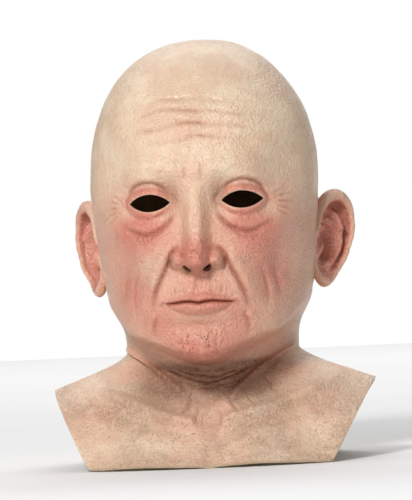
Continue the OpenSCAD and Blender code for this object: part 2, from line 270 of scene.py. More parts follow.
def plain(th, way):
    """Points of the outer surface before any relief. way runs crown 0, temples 1, neck 2, hem 3."""
    th, way = np.broadcast_arrays(np.asarray(th, float), np.asarray(way, float))
    up = np.cos(np.radians(90 * np.clip(way, 0, 1)))
    dome_r = (1 - up ** DOME_POWER) ** (1 / DOME_POWER) * column_r(th, np.full(th.shape, TEMPLE_Z))
    dome = place(th, dome_r, TEMPLE_Z + (CROWN_H - TEMPLE_Z) * up)
    side_z = level(th, np.clip(way, 1, 2))
    side = place(th, column_r(th, side_z), side_z)
    t = np.clip(way - 2, 0, 1)
    z0, (r1, z1) = neck_base_z(th), hem(th)
    r0 = column_r(th, z0)
    r_mid, z_mid = mix(r0, r1, 0.06), mix(z0, z1, 0.32)
    bib_r = mix(mix(r0, r_mid, t), mix(r_mid, r1, t), t)
    bib_z = mix(mix(z0, z_mid, t), mix(z_mid, z1, t), t)
    bib = place(th, bib_r, bib_z)
    w = way[..., None]
    return np.where(w <= 1, dome, np.where(w <= 2, side, bib))


def plain_normal(th, way):
    step = np.radians(0.8)
    across = plain(th + step, way) - plain(th - step, way)
    down = plain(th, np.minimum(way + 0.012, 3)) - plain(th, np.maximum(way - 0.012, 0.0005))
    n = np.cross(down, across)
    n /= np.maximum(np.linalg.norm(n, axis=-1, keepdims=True), 1e-9)
    pole = smooth((0.05 - way) / 0.05)[..., None]
    n = n * (1 - pole) + np.array([0, 0, 1.0]) * pole
    return n / np.linalg.norm(n, axis=-1, keepdims=True)


# ---------------------------------------------------------------- sculpting

def stroke(x, z, points):
    """Signed distance to a smooth open curve through the points, and the share of the way along it."""
    points = np.array(points, float)
    fine = []
    padded = np.concatenate([points[:1], points, points[-1:]])
    for before, a, b, after in zip(padded, padded[1:], padded[2:], padded[3:]):
        for t in np.linspace(0, 1, 6, endpoint=False):
            fine.append(0.5 * (2 * a + (b - before) * t + (2 * before - 5 * a + 4 * b - after) * t ** 2
                               + (3 * a - before - 3 * b + after) * t ** 3))
    fine.append(points[-1])
    fine = np.array(fine)
    best = np.full(x.shape, 1e9)
    signed, along = np.zeros(x.shape), np.zeros(x.shape)
    lengths = np.linalg.norm(np.diff(fine, axis=0), axis=1)
    total, run = lengths.sum(), 0
    for a, b, length in zip(fine[:-1], fine[1:], lengths):
        d = (b - a) / length
        px, pz = x - a[0], z - a[1]
        t = np.clip(px * d[0] + pz * d[1], 0, length)
        dist = np.hypot(px - d[0] * t, pz - d[1] * t)
        near = dist < best
        best = np.where(near, dist, best)
        signed = np.where(near, np.where(px * d[1] - pz * d[0] > 0, dist, -dist), signed)
        along = np.where(near, (run + t) / total, along)
        run += length
    return signed, along


def taper(along, start, end):
    """Fades a stroke in and out towards its ends."""
    return smooth(along / start) * smooth((1 - along) / end)


class Relief:
    """Adds up the height of the sculpt and, beside it, how deep its creases are, for the brown wash and the
    painted shade laid in them.
    """

    def __init__(self, shape):
        self.height = np.zeros(shape)
        self.crease = np.zeros(shape)

    def add(self, amount):
        self.height = self.height + amount

    def wash_and_shade(self, depth):
        """Darkens the paint in a crease of this depth, 0 to 1: a brown wash, which is also painted shade for
        the shade that falls in the crease.
        """
        self.crease = np.maximum(self.crease, depth)

    def groove(self, distance, depth, width, weight, lips):
        """A valley with raised banks. lips is their share of the valley's depth."""
        valley = np.exp(-(np.abs(distance) / width) ** 1.5) * weight
        banks = bell(np.abs(distance) - 2.3 * width, 1.2 * width) * weight
        self.height = self.height - depth * valley + depth * lips * banks
        # brown wash and painted shade in the valley, by its depth
        self.wash_and_shade(np.minimum(depth, 2.2) / 2.2 * valley)

    def wrinkle(self, x, z, points, depth, width, fades, lips):
        """A groove along a curve that fades in and out over these shares of its length."""
        distance, along = stroke(x, z, points)
        self.groove(distance, depth, width, taper(along, *fades), lips)


def lens_distance(x, z, width, height):
    """Distance outside the almond made by two arcs, less than 0 inside it."""
    arc = (width * width + height * height) / (4 * height)
    upper = np.hypot(x, z + arc - height / 2) - arc
    lower = np.hypot(x, z - arc + height / 2) - arc
    return np.maximum(upper, lower)


def forehead(relief, x, z, ax):
    relief.add(spots(ax, z, (1.6, 30, 74, 24, 20), (-3.4, 66, 38, 15, 26)))
    lines = ((58, 40, 1.0, 0.4), (68, 47, 1.35, 1.3), (78.5, 44, 1.15, 2.4), (88, 32, 0.8, 3.6))
    for z0, reach, depth, wave in lines:
        line = z0 + 1.6 * np.sin(x / 15 + wave) + 0.8 * np.sin(x / 6.3 + 2 * wave) - 0.0016 * x * x
        fade = smooth((reach - ax) / 16) * (0.75 + 0.25 * np.sin(x / 7 + wave))
        relief.groove(z - line, depth, 1.25, fade, 0.5)


def brow_and_socket(relief, x, z, ax):
    ridge = 34.5 + 5.0 * bell(ax - 34, 19)
    relief.add(4.6 * bell(z - ridge, 8) * smooth((56 - ax) / 18) * smooth((ax - 3) / 12))
    relief.add(spots(x, z, (2.6, 0, 36, 10, 10)))
    relief.add(spots(ax, z, (-8.5, 19.5, 14, 8, 12), (-6.5, 36, 13, 20, 14), (-2.2, 54, 6, 9, 10)))
    # eyeball under the lids
    ball = np.clip(1 - ((ax - EYE_X) / 19.5) ** 2 - ((z - EYE_Z) / 13.5) ** 2, 0, 1)
    relief.add(7.2 * ball ** 0.85)
    # lid margins, lid crease and the fold that hangs over it
    lens = lens_distance(ax - EYE_X, z - EYE_Z, EYE_W, EYE_H)
    relief.add(1.0 * bell(lens - 1.2, 1.5))
    relief.groove(lens - 4.6, 0.9, 0.9, smooth((z - EYE_Z + 1) / 4), 0.4)
    relief.wrinkle(ax, z, [(19, 18), (26, 24.5), (36, 27), (46, 24), (54, 15)], 1.9, 1.2, (0.15, 0.2), 0.2)
    relief.add(spots(ax, z, (2.4, 40, 29.5, 15, 4.2)))
    # lower lid, bag and the trough under it
    relief.wrinkle(ax, z, [(20, 6.5), (27, 2.2), (36, 0.4), (45, 2.2), (53, 7)], 0.9, 0.9, (0.2, 0.3), 0.35)
    relief.add(spots(ax, z, (2.3, 35, -4.2, 13, 4.6)))
    trough = [(16.5, 5), (21, -3.5), (30, -10), (41, -11.5), (52, -6), (58, 1)]
    relief.wrinkle(ax, z, trough, 2.0, 1.6, (0.12, 0.35), 0.3)
    relief.wrinkle(ax, z, [(24, -8), (33, -14.5), (43, -15.5), (52, -11)], 0.7, 1.1, (0.3, 0.4), 0.3)
    # crow's feet, and two soft vertical lines between the brows
    for angle, start, length in ((32, 5, 15), (14, 5, 19), (-6, 5, 20), (-24, 6, 18), (-42, 8, 14)):
        c, s = math.cos(deg(angle)), math.sin(deg(angle))
        middle, end = start + length / 2, start + length
        ray = [(52 + c * reach, z0 + s * reach) for reach, z0 in ((start, 10), (middle, 10.8), (end, 10))]
        relief.wrinkle(ax, z, ray, 0.8, 0.85, (0.3, 0.6), 0.45)
    relief.wrinkle(ax, z, [(6.5, 25), (6, 33), (7.5, 42)], 0.7, 1.2, (0.4, 0.5), 0.3)


def nose(relief, x, z, ax):
    t = np.clip((23 - z) / 54, 0, 1)
    ridge = (3.2 + 16.6 * t ** 1.15 + 1.2 * bell(t - 0.40, 0.16)) * smooth((30 - z) / 12)
    half = mix(10.0, 14.5, smooth(t * 1.1)) - 2.0 * bell(t - 0.72, 0.16)
    flank = 0.5 * (1 + np.cos(np.pi * np.clip((ax / half - 0.2) / 0.9, 0, 1)))
    ball = np.clip(1 - (x / 11.5) ** 2 - ((z + 29.5) / 10.5) ** 2, 0, 1)
    wing = np.clip(1 - ((ax - 13.6) / 6.6) ** 2 - ((z + 32.0) / 8.2) ** 2, 0, 1)
    body = soft_max(ridge * flank, 21.5 * ball ** 0.55, 3.0)
    body = soft_max(body, 10.5 * wing ** 0.6 + 1.5 * flank, 2.5)
    underside = smooth((z + 44.0 - 1.8 * bell(ax - 14, 4.5)) / 10.5)
    relief.add(body * underside)
    relief.add(spots(ax, z, (-1.0, 8.6, -25.5, 2.2, 5.5)))
    round_wing = [(10.5, -22.5), (14.5, -22.2), (19.8, -26.5), (21.2, -33), (18.5, -41)]
    relief.wrinkle(ax, z, round_wing, 1.8, 1.25, (0.3, 0.25), 0.15)
    relief.add(2.2 * bell(ax, 3.2) * bell(z + 40, 4.5))


def lip_edges(ax):
    """Heights of the upper and the lower edge of the lips."""
    out = np.minimum(ax, MOUTH_HALF) / MOUTH_HALF
    return -55.8 + 1.2 * bell(ax - 4.8, 3.4) - 6.6 * out ** 2.3, -72.6 + 9.6 * out ** 2.5


def mouth(relief, x, z, ax):
    relief.add(spots(x, z, (5.4, 0, -60, 27, 17)))
    groove = smooth((z + 55) / 4) * smooth((-40.5 - z) / 3)
    relief.add((0.75 * bell(ax - 4.9, 1.9) - 1.3 * bell(x, 2.6)) * groove)
    upper, lower = lip_edges(ax)
    parting = -62.9 + 0.9 * bell(ax - 9.5, 7) - 0.5 * bell(x, 3.2) - 0.3 * (ax / MOUTH_HALF) ** 2
    inside = np.clip(1 - (ax / MOUTH_HALF) ** 2, 0, 1) ** 0.6
    u = np.clip((z - parting) / np.maximum(upper - parting, 0.2), 0, 1)
    v = np.clip((parting - z) / np.maximum(parting - lower, 0.2), 0, 1)
    relief.add(3.0 * np.sin(np.pi * u ** 0.75) ** 0.8 * inside)
    relief.add(3.9 * np.sin(np.pi * v ** 0.72) ** 0.8 * inside)
    relief.groove(z - parting, 2.6, 1.15, smooth((27.5 - ax) / 5), 0)
    relief.add(0.35 * bell(z - upper - 0.7, 0.8) * smooth((22 - ax) / 8))
    relief.wrinkle(ax, z, [(25, -62), (28.5, -64), (30, -67.5)], 1.1, 1.3, (0.3, 0.5), 0.4)
    relief.add(spots(ax, z, (1.3, 31, -61, 4.5, 7)))
    # fine upright lines in and round the lips
    lines = np.sin(x * 2.05 + 0.7 * np.sin(x * 0.9)) * np.sin(x * 0.63 + 1)
    relief.add(0.22 * lines * inside * smooth((z - lower + 2) / 3) * smooth((upper + 3 - z) / 3))
    for x0, lean in ((-17, -2.0), (-10.5, -1.2), (9.5, 1.0), (16.5, 2.2)):
        upright = [(x0, -57.5), (x0 + lean * 0.5, -52.5), (x0 + lean, -47.5)]
        relief.wrinkle(x, z, upright, 0.6, 0.85, (0.3, 0.6), 0.5)


def cheeks_and_chin(relief, x, z, ax):
    relief.add(spots(ax, z, (4.2, 55, -3, 14, 11), (2.2, 38, -23, 14, 12), (-4.4, 61, -40, 13, 20)))
    # fold from the wing of the nose, and the one that carries it on past the mouth
    sd, along = stroke(ax, z, [(17.5, -26), (23, -36), (29.5, -48), (34.5, -60), (36.5, -71)])
    fade = taper(along, 0.18, 0.4)
    relief.groove(sd, 2.3, 1.7, fade, 0)
    relief.add(2.9 * bell(sd + 6.0, 5.5) * fade)
    sd, along = stroke(ax, z, [(31.5, -70), (35, -80), (36, -91)])
    fade = taper(along, 0.25, 0.5)
    relief.groove(sd, 1.3, 1.5, fade, 0.1)
    relief.add(1.5 * bell(sd + 4.5, 4) * fade)
    # hollow lines down the cheek, deeper on the left
    tilt = 1 + 0.3 * np.sign(x)
    for line, depth, width in (([(43, -32), (48, -45), (50, -60), (47, -76)], 1.0, 2.2),
                               ([(56, -38), (59, -50), (59, -64)], 0.6, 2.4)):
        sd, along = stroke(ax, z, line)
        fade = taper(along, 0.4, 0.5)
        relief.add(-depth * tilt * bell(sd, width) * fade)
        relief.add(0.5 * depth * bell(sd + 4.5, 3.2) * fade)
        # brown wash and painted shade in the hollow lines
        relief.wash_and_shade(0.28 * bell(sd, 1.3) * fade)
    # jowl, hollow beside the chin, and the chin with its cleft
    relief.add(spots(ax, z, (3.4, 50, -84, 12, 12), (-1.6, 34, -98, 7, 9)))
    relief.add(spots(x, z, (-3.6, 0, -79.5, 20, 5.0)))
    # painted shade in the fold between the lower lip and the chin
    relief.wash_and_shade(0.45 * bump(x, z + 79.5, 17, 2.6))
    relief.add(spots(x, z, (6.4, 0, -97, 19, 12.5)))
    relief.add(0.7 * np.abs(ax - 7) / 7 * bump(x, z + 97, 9, 8))


def dimples(relief, x, z, count, centre, spread, seed):
    """Large open pores, scattered round a place, pressed into the surface."""
    random = np.random.default_rng(seed)
    near = (np.abs(x - centre[0]) < 2.4 * spread[0]) & (np.abs(z - centre[1]) < 2.4 * spread[1])
    px, pz = x[near], z[near]
    total = np.zeros(px.shape)
    for _ in range(count):
        cx, cz = random.normal(centre, spread)
        size = random.uniform(0.75, 1.35)
        total = np.minimum(total, -0.62 * size * bump(px - cx, pz - cz, size, 0.9 * size))
    pressed = np.zeros(x.shape)
    pressed[near] = total
    relief.add(pressed)
    # brown wash and painted shade in the pressed pores, by their depth
    relief.wash_and_shade(np.clip(-0.45 * pressed, 0, 1))


def neck_and_chest(relief, th, way, x, z, ax):
    turn, way100 = turn_of(th), way * 100
    lopsided = 1 + 0.22 * np.sin(th)
    below = smooth((way - 1.60) / 0.1)
    # folds that run from under the jaw to the throat, with a cord standing between them
    for line, depth, width in (([(78, 178), (60, 187), (41, 199), (23, 216), (13, 234)], 1.5, 3.4),
                               ([(58, 177), (45, 185), (31, 195), (17, 209)], 1.2, 3.0),
                               ([(78, 192), (66, 200), (51, 211), (36, 227)], 1.0, 2.8)):
        sd, along = stroke(turn, way100, line)
        fade = taper(along, 0.45, 0.4) * below
        relief.add((-depth * bell(sd * 0.8, width) + 0.8 * depth * bell(sd - 6.5, 4.5)) * fade * lopsided)
        # brown wash and painted shade in the neck folds
        relief.wash_and_shade(0.26 * bell(sd * 0.8, 0.6 * width) * fade)
    sd, along = stroke(turn, way100, [(88, 178), (66, 190), (45, 203), (27, 219), (15, 240)])
    relief.add(3.6 * bell(sd, 4.6) * taper(along, 0.2, 0.2) * below)
    relief.add(1.7 * bell(turn - 11.5, 4.2) * smooth((way - 1.72) / 0.1) * smooth((2.22 - way) / 0.2))
    relief.add(-1.4 * bell(turn, 5) * smooth((way - 1.78) / 0.1) * smooth((2.3 - way) / 0.2))
    for w0, reach, depth, wave in ((1.86, 40, 0.9, 0.3), (1.97, 55, 1.1, 1.7), (2.09, 46, 0.8, 2.9)):
        line = w0 * 100 + 1.8 * np.sin(np.degrees(th) / 11 + wave) + 0.9 * np.sin(np.degrees(th) / 4.3 + wave)
        relief.groove((way100 - line) * 0.62, depth, 1.2, smooth((reach - turn) / 24), 0.5)
    # collar bones, the notch between them and the fall of the chest
    chest = smooth((way - 2.02) / 0.2) * smooth((112 - turn) / 20)
    collar = -155 + 0.31 * (ax - 6) + 1.3 * np.sin(x / 13 + 0.6)
    relief.add(4.4 * bell(z - collar, 4.2) * smooth((ax - 5) / 9) * smooth((106 - ax) / 30) * chest)
    relief.add(-3.2 * bump(ax - 36, z - collar - 12, 19, 6.5) * chest)
    relief.add(-1.9 * bell(z - collar + 10, 4.5) * smooth((ax - 8) / 16) * smooth((92 - ax) / 25) * chest)
    # painted shade in the hollow under the collar bones
    relief.wash_and_shade(0.30 * bell(z - collar + 8.5, 2.4) * smooth((ax - 10) / 16) * smooth((70 - ax) / 25) * chest)
    relief.add(-5.6 * bump(x, z + 149, 7.0, 8.5) * smooth((way - 2) / 0.15) * smooth((100 - turn) / 20))
    relief.add(-1.5 * bell(x + 1.5 * np.sin(z / 9), 4.5) * smooth((-156 - z) / 10) * chest)
    relief.add(2.0 * bump(ax - 42, z + 176, 26, 13) * chest)
    # fine lines over the chest, each by its turn from the front and its way in hundredths
    fine_lines = (
        ([(13, 226), (19, 240), (23, 258)], 1.2), ([(-15, 224), (-18, 242), (-27, 258)], 1.2),
        ([(27, 222), (33, 236), (35, 254)], 0.9), ([(-31, 216), (-34, 232), (-42, 250)], 1.0),
        ([(5, 236), (8, 254), (5, 274)], 0.9), ([(-6, 234), (-10, 252), (-8, 270)], 0.9),
        ([(44, 214), (50, 230), (51, 246)], 0.7), ([(-48, 212), (-52, 226), (-60, 240)], 0.7),
        ([(20, 262), (40, 268), (62, 262)], 0.6), ([(-24, 266), (-44, 270), (-58, 262)], 0.6),
    )
    for line, depth in fine_lines:
        sd, along = stroke(np.degrees(th), way100, line)
        relief.groove(sd * 0.9, depth, 1.15, taper(along, 0.3, 0.5) * smooth((100 - turn) / 10), 0.5)


def back_of_head(relief, th, way, z):
    turn = turn_of(th)
    behind = smooth((turn - 105) / 35)
    for z0, depth, wave in ((-62, 1.1, 0.5), (-73, 1.6, 1.4), (-84, 1.2, 2.6)):
        line = z0 + 2.4 * np.sin(np.degrees(th) / 17 + wave) + 0.9 * np.sin(np.degrees(th) / 5.1 + wave)
        shallower_at_slit = smooth((208 - turn) / 30)
        relief.groove(z - line, depth, 1.5, behind * shallower_at_slit, 0.5)
    relief.add(1.6 * bump(turn - 180, z + 30, 26, 14))
    relief.add(-1.0 * bump(turn - 152, z + 55, 9, 16))
    relief.add(-1.8 * bell(turn - 180, 9) * smooth((way - 2.1) / 0.2) * smooth((2.95 - way) / 0.2))


def unevenness(x, z, th):
    """Slow swells and dents, so that no side is a mirror of the other."""
    total = 0
    for kx, kz, kt, phase, size in ((0.051, 0.043, 1.0, 0.3, 0.30), (-0.083, 0.061, 2.0, 1.9, 0.22),
                                    (0.127, -0.101, 3.0, 4.1, 0.15), (-0.19, 0.17, 1.0, 2.2, 0.10),
                                    (0.31, 0.23, 2.0, 5.0, 0.07), (-0.43, 0.37, 1.0, 0.9, 0.05)):
        total = total + size * np.sin(kx * x + kz * z + kt * np.sin(th) + phase)
    return total


def sculpt(th, way, points):
    """Height of the relief over the plain form, and crease depth, 0 to 1."""
    x, z = points[..., 0], points[..., 2]
    ax = np.abs(x)
    turn = turn_of(th)
    face = Relief(x.shape)
    forehead(face, x, z, ax)
    brow_and_socket(face, x, z, ax)
    nose(face, x, z, ax)
    mouth(face, x, z, ax)
    cheeks_and_chin(face, x, z, ax)
    dimples(face, x, z, 85, (0, -95), (11.5, 6.0), 11)
    dimples(face, x, z, 26, (0, -27), (5.5, 5.0), 12)
    on_face = smooth((90 - turn) / 24) * (1 - turned_in(th, z)) * (way < 2)
    relief = Relief(x.shape)
    relief.add(face.height * on_face)
    relief.crease = face.crease * on_face
    neck_and_chest(relief, th, way, x, z, ax)
    back_of_head(relief, th, way, z)
    # swelling where the ears are rooted, and the flash line left by the mould
    beside_ear = smooth((z - EAR_MID_Z + 36) / 16) * smooth((EAR_MID_Z + 36 - z) / 16) * (way < 2)
    relief.add(2.6 * bell(turn - EAR_TURN, 7) * beside_ear)
    relief.add(0.35 * bell(turn - 90, 0.9) * smooth((way - 0.1) / 0.2))
    relief.add(unevenness(x, z, th))
    return relief.height * smooth(way / 0.22), relief.crease


def outer(th, way):
    """Points, crease depth and plain normals of the sculpted surface."""
    points = plain(th, way)
    height, crease = sculpt(th, way, points)
    normal = plain_normal(th, way)
    x, z = points[..., 0], points[..., 2]
    ahead = (smooth((66 - np.abs(x)) / 26) * smooth((66 - z) / 22) * smooth((z + 104) / 12)
             * smooth((75 - turn_of(th)) / 20))[..., None]
    direction = normal * (1 - ahead) + np.array([0, -1.0, 0]) * ahead
    direction /= np.linalg.norm(direction, axis=-1, keepdims=True)
    return points + direction * height[..., None], crease, normal


# ---------------------------------------------------------------- shells

def grid_between(stops, counts):
    """Values evenly spaced within each stretch between stops."""
    parts = [np.linspace(a, b, n, endpoint=False) for a, b, n in zip(stops[:-1], stops[1:], counts)]
    return np.concatenate(parts + [[stops[-1]]])


def even_rows(columns, stops, counts):
    """Ways down each column such that rows are evenly spaced along the sculpted surface between stops."""
    rows = []
    for k, (a, b, n) in enumerate(zip(stops[:-1], stops[1:], counts)):
        a, b = np.broadcast_to(a, columns.shape), np.broadcast_to(b, columns.shape)
        t = np.linspace(0, 1, 5 * n + 1)[:, None]
        ways = a + (b - a) * t
        points = outer(np.broadcast_to(columns, ways.shape), ways)[0]
        steps = np.linalg.norm(np.diff(points, axis=0), axis=-1)
        kernel = np.ones(9) / 9
        padded = np.pad(steps, ((0, 0), (4, 4)), mode="edge")
        steps = np.array([np.convolve(row, kernel, "valid") for row in padded])
        run = np.vstack([np.zeros(len(columns)), np.cumsum(steps, axis=0)])
        run /= run[-1]
        goal = np.linspace(0, 1, n + 1)
        part = np.array([np.interp(goal, run[:, j], ways[:, j]) for j in range(len(columns))]).T
        rows.append(part if k == len(counts) - 1 else part[:-1])
    return np.vstack(rows)


def soften(points, times):
    """Averages a grid of points with its neighbours."""
    p = points.copy()
    for _ in range(times):
        q = p.copy()
        q[1:-1, 1:-1] = (4 * p[1:-1, 1:-1] + p[:-2, 1:-1] + p[2:, 1:-1] + p[1:-1, :-2] + p[1:-1, 2:]) / 8
        q[1:-1, 0] = (2 * p[1:-1, 0] + p[:-2, 0] + p[2:, 0]) / 4
        q[1:-1, -1] = (2 * p[1:-1, -1] + p[:-2, -1] + p[2:, -1]) / 4
        p = q
    return p


def grid_normals(points):
    down = np.gradient(points, axis=0)
    across = np.gradient(points, axis=1)
    n = np.cross(down, across)
    length = np.linalg.norm(n, axis=-1, keepdims=True)
    return n / np.maximum(length, 1e-9)


def inner_layer(th, way, depth):
    """The inside of the skin, on every other row and column: the relief comes through softened."""
    th, way = th[::2, ::2], way[::2, ::2]
    points, _, normal = outer(th, way)
    soft = soften(points, 10)
    n = grid_normals(soft)
    flip = np.sign((n * normal).sum(-1, keepdims=True))
    n = soften(n * np.where(flip == 0, 1, flip), 4)
    side = np.zeros(n.shape, bool)
    side[:, [0, -1], :] = True
    n = np.where(side, normal, n)
    n[:3] = normal[:3]
    n[-1] = normal[-1]
    n /= np.maximum(np.linalg.norm(n, axis=-1, keepdims=True), 1e-9)
    inner = soft - n * depth
    # never closer than 1.2 mm under the outside of the head
    radius = np.hypot(points[..., 0], points[..., 1])
    low = radius.copy()
    for _ in range(2):
        pad = np.pad(low, 1, mode="edge")
        low = np.minimum.reduce([low, pad[:-2, 1:-1], pad[2:, 1:-1], pad[1:-1, :-2], pad[1:-1, 2:]])
    head = (way > 1.0) & (way < 1.62)
    own = np.hypot(inner[..., 0], inner[..., 1])
    limit = np.where(head, np.minimum(own, low - 1.2), own)
    inner[..., :2] *= (limit / np.maximum(own, 1e-9))[..., None]
    return inner


def add_skin_materials(mesh):
    for material in SKIN_MATERIALS:
        mesh.materials.append(material)


def new_object(name, mesh):
    obj = bpy.data.objects.new(name, mesh)
    bpy.context.scene.collection.objects.link(obj)
    return obj


def quads(ids):
    """Faces of a grid of vertex numbers, row by row."""
    return np.stack([ids[:-1, :-1], ids[:-1, 1:], ids[1:, 1:], ids[1:, :-1]], -1).reshape(-1, 4).tolist()


def build_mesh(name, points, faces, slots=None):
    """A mesh in metres from points in millimetres, with every normal turned outwards."""
    mesh = bpy.data.meshes.new(name)
    mesh.from_pydata((np.asarray(points) * MM).tolist(), [], [list(map(int, f)) for f in faces])
    if slots is not None:
        mesh.polygons.foreach_set("material_index", np.asarray(slots, np.int32))
    bm = bmesh.new()
    bm.from_mesh(mesh)
    bmesh.ops.recalc_face_normals(bm, faces=bm.faces)
    bm.to_mesh(mesh)
    bm.free()
    return mesh


def smooth_shading(mesh, degrees=50):
    mesh.shade_smooth()
    mesh.set_sharp_from_angle(angle=deg(degrees))


OUTSIDE, INSIDE, CUT = 0, 1, 2


def shell(name, th, way, pole=False, notch=None):
    """A closed skin from a grid of angles and ways, as an object. With a pole, the first row is one point.
    With a notch, (column, row), the columns after that one part from it below that row. The rows, and the
    columns on each side of a notch, are odd in number, since the inside uses every other one."""
    rows, cols = th.shape
    points, crease, _ = outer(th, way)
    groups = [(0, cols)] if notch is None else [(0, notch[0] + 1), (notch[0] + 1, cols)]
    outer_id = np.arange(rows * cols).reshape(rows, cols)
    if pole:
        outer_id[0, :] = outer_id[0, 0]
    if notch is not None:
        outer_id[:notch[1] + 1, notch[0] + 1] = outer_id[:notch[1] + 1, notch[0]]
    inner_points, inner_ids, start = [], [], rows * cols
    for a, b in groups:
        layer = inner_layer(th[:, a:b], way[:, a:b], SKIN_T)
        ids = start + np.arange(layer.shape[0] * layer.shape[1]).reshape(layer.shape[:2])
        inner_points.append(layer.reshape(-1, 3))
        inner_ids.append(ids)
        start += layer.shape[0] * layer.shape[1]
    if pole:
        for ids in inner_ids:
            ids[0, :] = inner_ids[0][0, 0]
    if notch is not None:
        merged = notch[1] // 2 + 1
        inner_ids[1][:merged, 0] = inner_ids[0][:merged, -1]
    faces, slots = [], []

    def emit(face, slot):
        clean = [f for k, f in enumerate(face) if f != face[k - 1]]
        if len(set(clean)) > 2:
            faces.append(clean)
            slots.append(slot)

    for (a, b), ids in zip(groups, inner_ids):
        for face in quads(outer_id[:, a:b]):
            emit(face, OUTSIDE)
        for face in quads(ids):
            emit(face[:1] + face[:0:-1], INSIDE)

    def rim(outer_chain, inner_chain):
        for k in range(len(inner_chain) - 1):
            emit([outer_chain[2 * k], outer_chain[2 * k + 1], outer_chain[2 * k + 2],
                  inner_chain[k + 1], inner_chain[k]], CUT)

    rim(outer_id[:, 0], inner_ids[0][:, 0])
    rim(outer_id[:, -1], inner_ids[-1][:, -1])
    for (a, b), ids in zip(groups, inner_ids):
        rim(outer_id[-1, a:b], ids[-1])
        if not pole:
            rim(outer_id[0, a:b], ids[0])
    if notch is not None:
        top = notch[1]
        rim(outer_id[top:, notch[0]], inner_ids[0][top // 2:, -1])
        rim(outer_id[top:, notch[0] + 1], inner_ids[1][top // 2:, 0])
    all_points = np.vstack([points.reshape(-1, 3)] + inner_points)
    all_crease = np.concatenate([crease.ravel(), np.zeros(len(all_points) - crease.size)])
    used = np.unique(np.concatenate([np.asarray(f) for f in faces]))
    renumber = np.full(len(all_points), -1)
    renumber[used] = np.arange(len(used))
    mesh = build_mesh(name, all_points[used], [renumber[f] for f in faces], slots)
    paint_layer(mesh, "crease", all_crease[used])
    add_skin_materials(mesh)
    return new_object(name + "_mesh", mesh)


def paint_layer(mesh, name, values):
    layer = mesh.attributes.get(name) or mesh.attributes.new(name, "FLOAT", "POINT")
    layer.data.foreach_set("value", np.asarray(values, np.float32))


def mesh_layer(mesh, name):
    values = np.zeros(len(mesh.vertices), np.float32)
    mesh.attributes[name].data.foreach_get("value", values)
    return values


def mesh_points(mesh):
    co = np.zeros(len(mesh.vertices) * 3, np.float32)
    mesh.vertices.foreach_get("co", co)
    return co.reshape(-1, 3) / MM


def cut(obj, cutters):
    """Cuts holes with closed cutter objects, and removes them."""
    for cutter in cutters:
        modifier = obj.modifiers.new("cut", "BOOLEAN")
        modifier.operation = "DIFFERENCE"
        modifier.solver = "MANIFOLD"
        modifier.object = cutter
    graph = bpy.context.evaluated_depsgraph_get()
    mesh = bpy.data.meshes.new_from_object(obj.evaluated_get(graph))
    obj.modifiers.clear()
    obj.data = mesh
    for cutter in cutters:
        bpy.data.objects.remove(cutter)


def prism_cutter(outline, y_near, y_far):
    """A closed prism along Y from an outline of (x, z) points."""
    n = len(outline)
    points = [(x, y_near, z) for x, z in outline] + [(x, y_far, z) for x, z in outline]
    faces = [list(range(n)), list(range(2 * n - 1, n - 1, -1))]
    faces += [[k, (k + 1) % n, n + (k + 1) % n, n + k] for k in range(n)]
    mesh = build_mesh("cutter", points, faces, [CUT] * len(faces))
    add_skin_materials(mesh)
    return new_object("cutter", mesh)


def eye_cutter(side):
    arc = (EYE_W ** 2 + EYE_H ** 2) / (4 * EYE_H)
    half = math.asin(EYE_W / 2 / arc)
    outline = []
    for sign in (1, -1):
        for t in np.linspace(-half, half, 32, endpoint=False):
            rise = arc * math.cos(t) - arc + EYE_H / 2
            outline.append((side * EYE_X + sign * arc * math.sin(t), EYE_Z + sign * rise))
    return prism_cutter(outline, -FACE_DEPTH - 20, -40)


def nostril_cutter(side):
    """A leaning egg that opens in the underside of the nose and runs through the skin."""
    bm = bmesh.new()
    bmesh.ops.create_icosphere(bm, subdivisions=4, radius=1)
    lean = (Matrix.Translation(Vector((side * 7.6, -102.5, -37.8)) * MM)
            @ Matrix.Rotation(math.radians(-16 * side), 4, "Y") @ Matrix.Rotation(math.radians(24), 4, "X")
            @ Matrix.Diagonal((NOSTRIL_R * 1.02 * MM, 9 * MM, 3.5 * MM, 1)))
    bm.transform(lean)
    mesh = bpy.data.meshes.new("cutter")
    bm.to_mesh(mesh)
    bm.free()
    add_skin_materials(mesh)
    return new_object("cutter", mesh)


def back_reach(way):
    """How far back the plain form reaches at each way."""
    return plain(np.full(way.shape, math.pi), way)[:, 1]


def fold_turn(way, width):
    """Angle past the middle of the back at which the fold lies."""
    p = plain(np.full(np.shape(way), math.pi), way)
    along = np.clip((-SLIT_TOP - p[..., 2]) / (BACK_HEM_DROP - SLIT_TOP), 0, 1)
    return np.arcsin(along * width / p[..., 1])


# ---------------------------------------------------------------- the skins

slit_way = way_number(math.pi, -SLIT_TOP)


def face_skin():
    half = grid_between([0, deg(14), deg(37), deg(HEM_CORNER), math.pi / 2], [34, 40, 18, 28])
    columns = np.concatenate([-half[:0:-1], half])
    nose_top, nose_foot = way_at(columns, np.array(-25.0)), way_at(columns, np.array(-43.0))
    turn_start = way_at(columns, jaw_z(columns) + around(columns, CHIN_TURN, JAW_TURN, NAPE_TURN) * 0.96)
    turn_start = np.maximum(turn_start, nose_foot + 0.02)
    stops = [0, 0.46, 1, nose_top, nose_foot, turn_start, JAW_WAY + 0.01, 2, 3]
    way = even_rows(columns, stops, [12, 58, 56, 34, 56, 30, 14, 40])
    th = np.broadcast_to(columns, way.shape)
    obj = shell("face_skin", th, way, pole=True)
    cut(obj, [eye_cutter(1), eye_cutter(-1), nostril_cutter(1), nostril_cutter(-1)])
    return obj


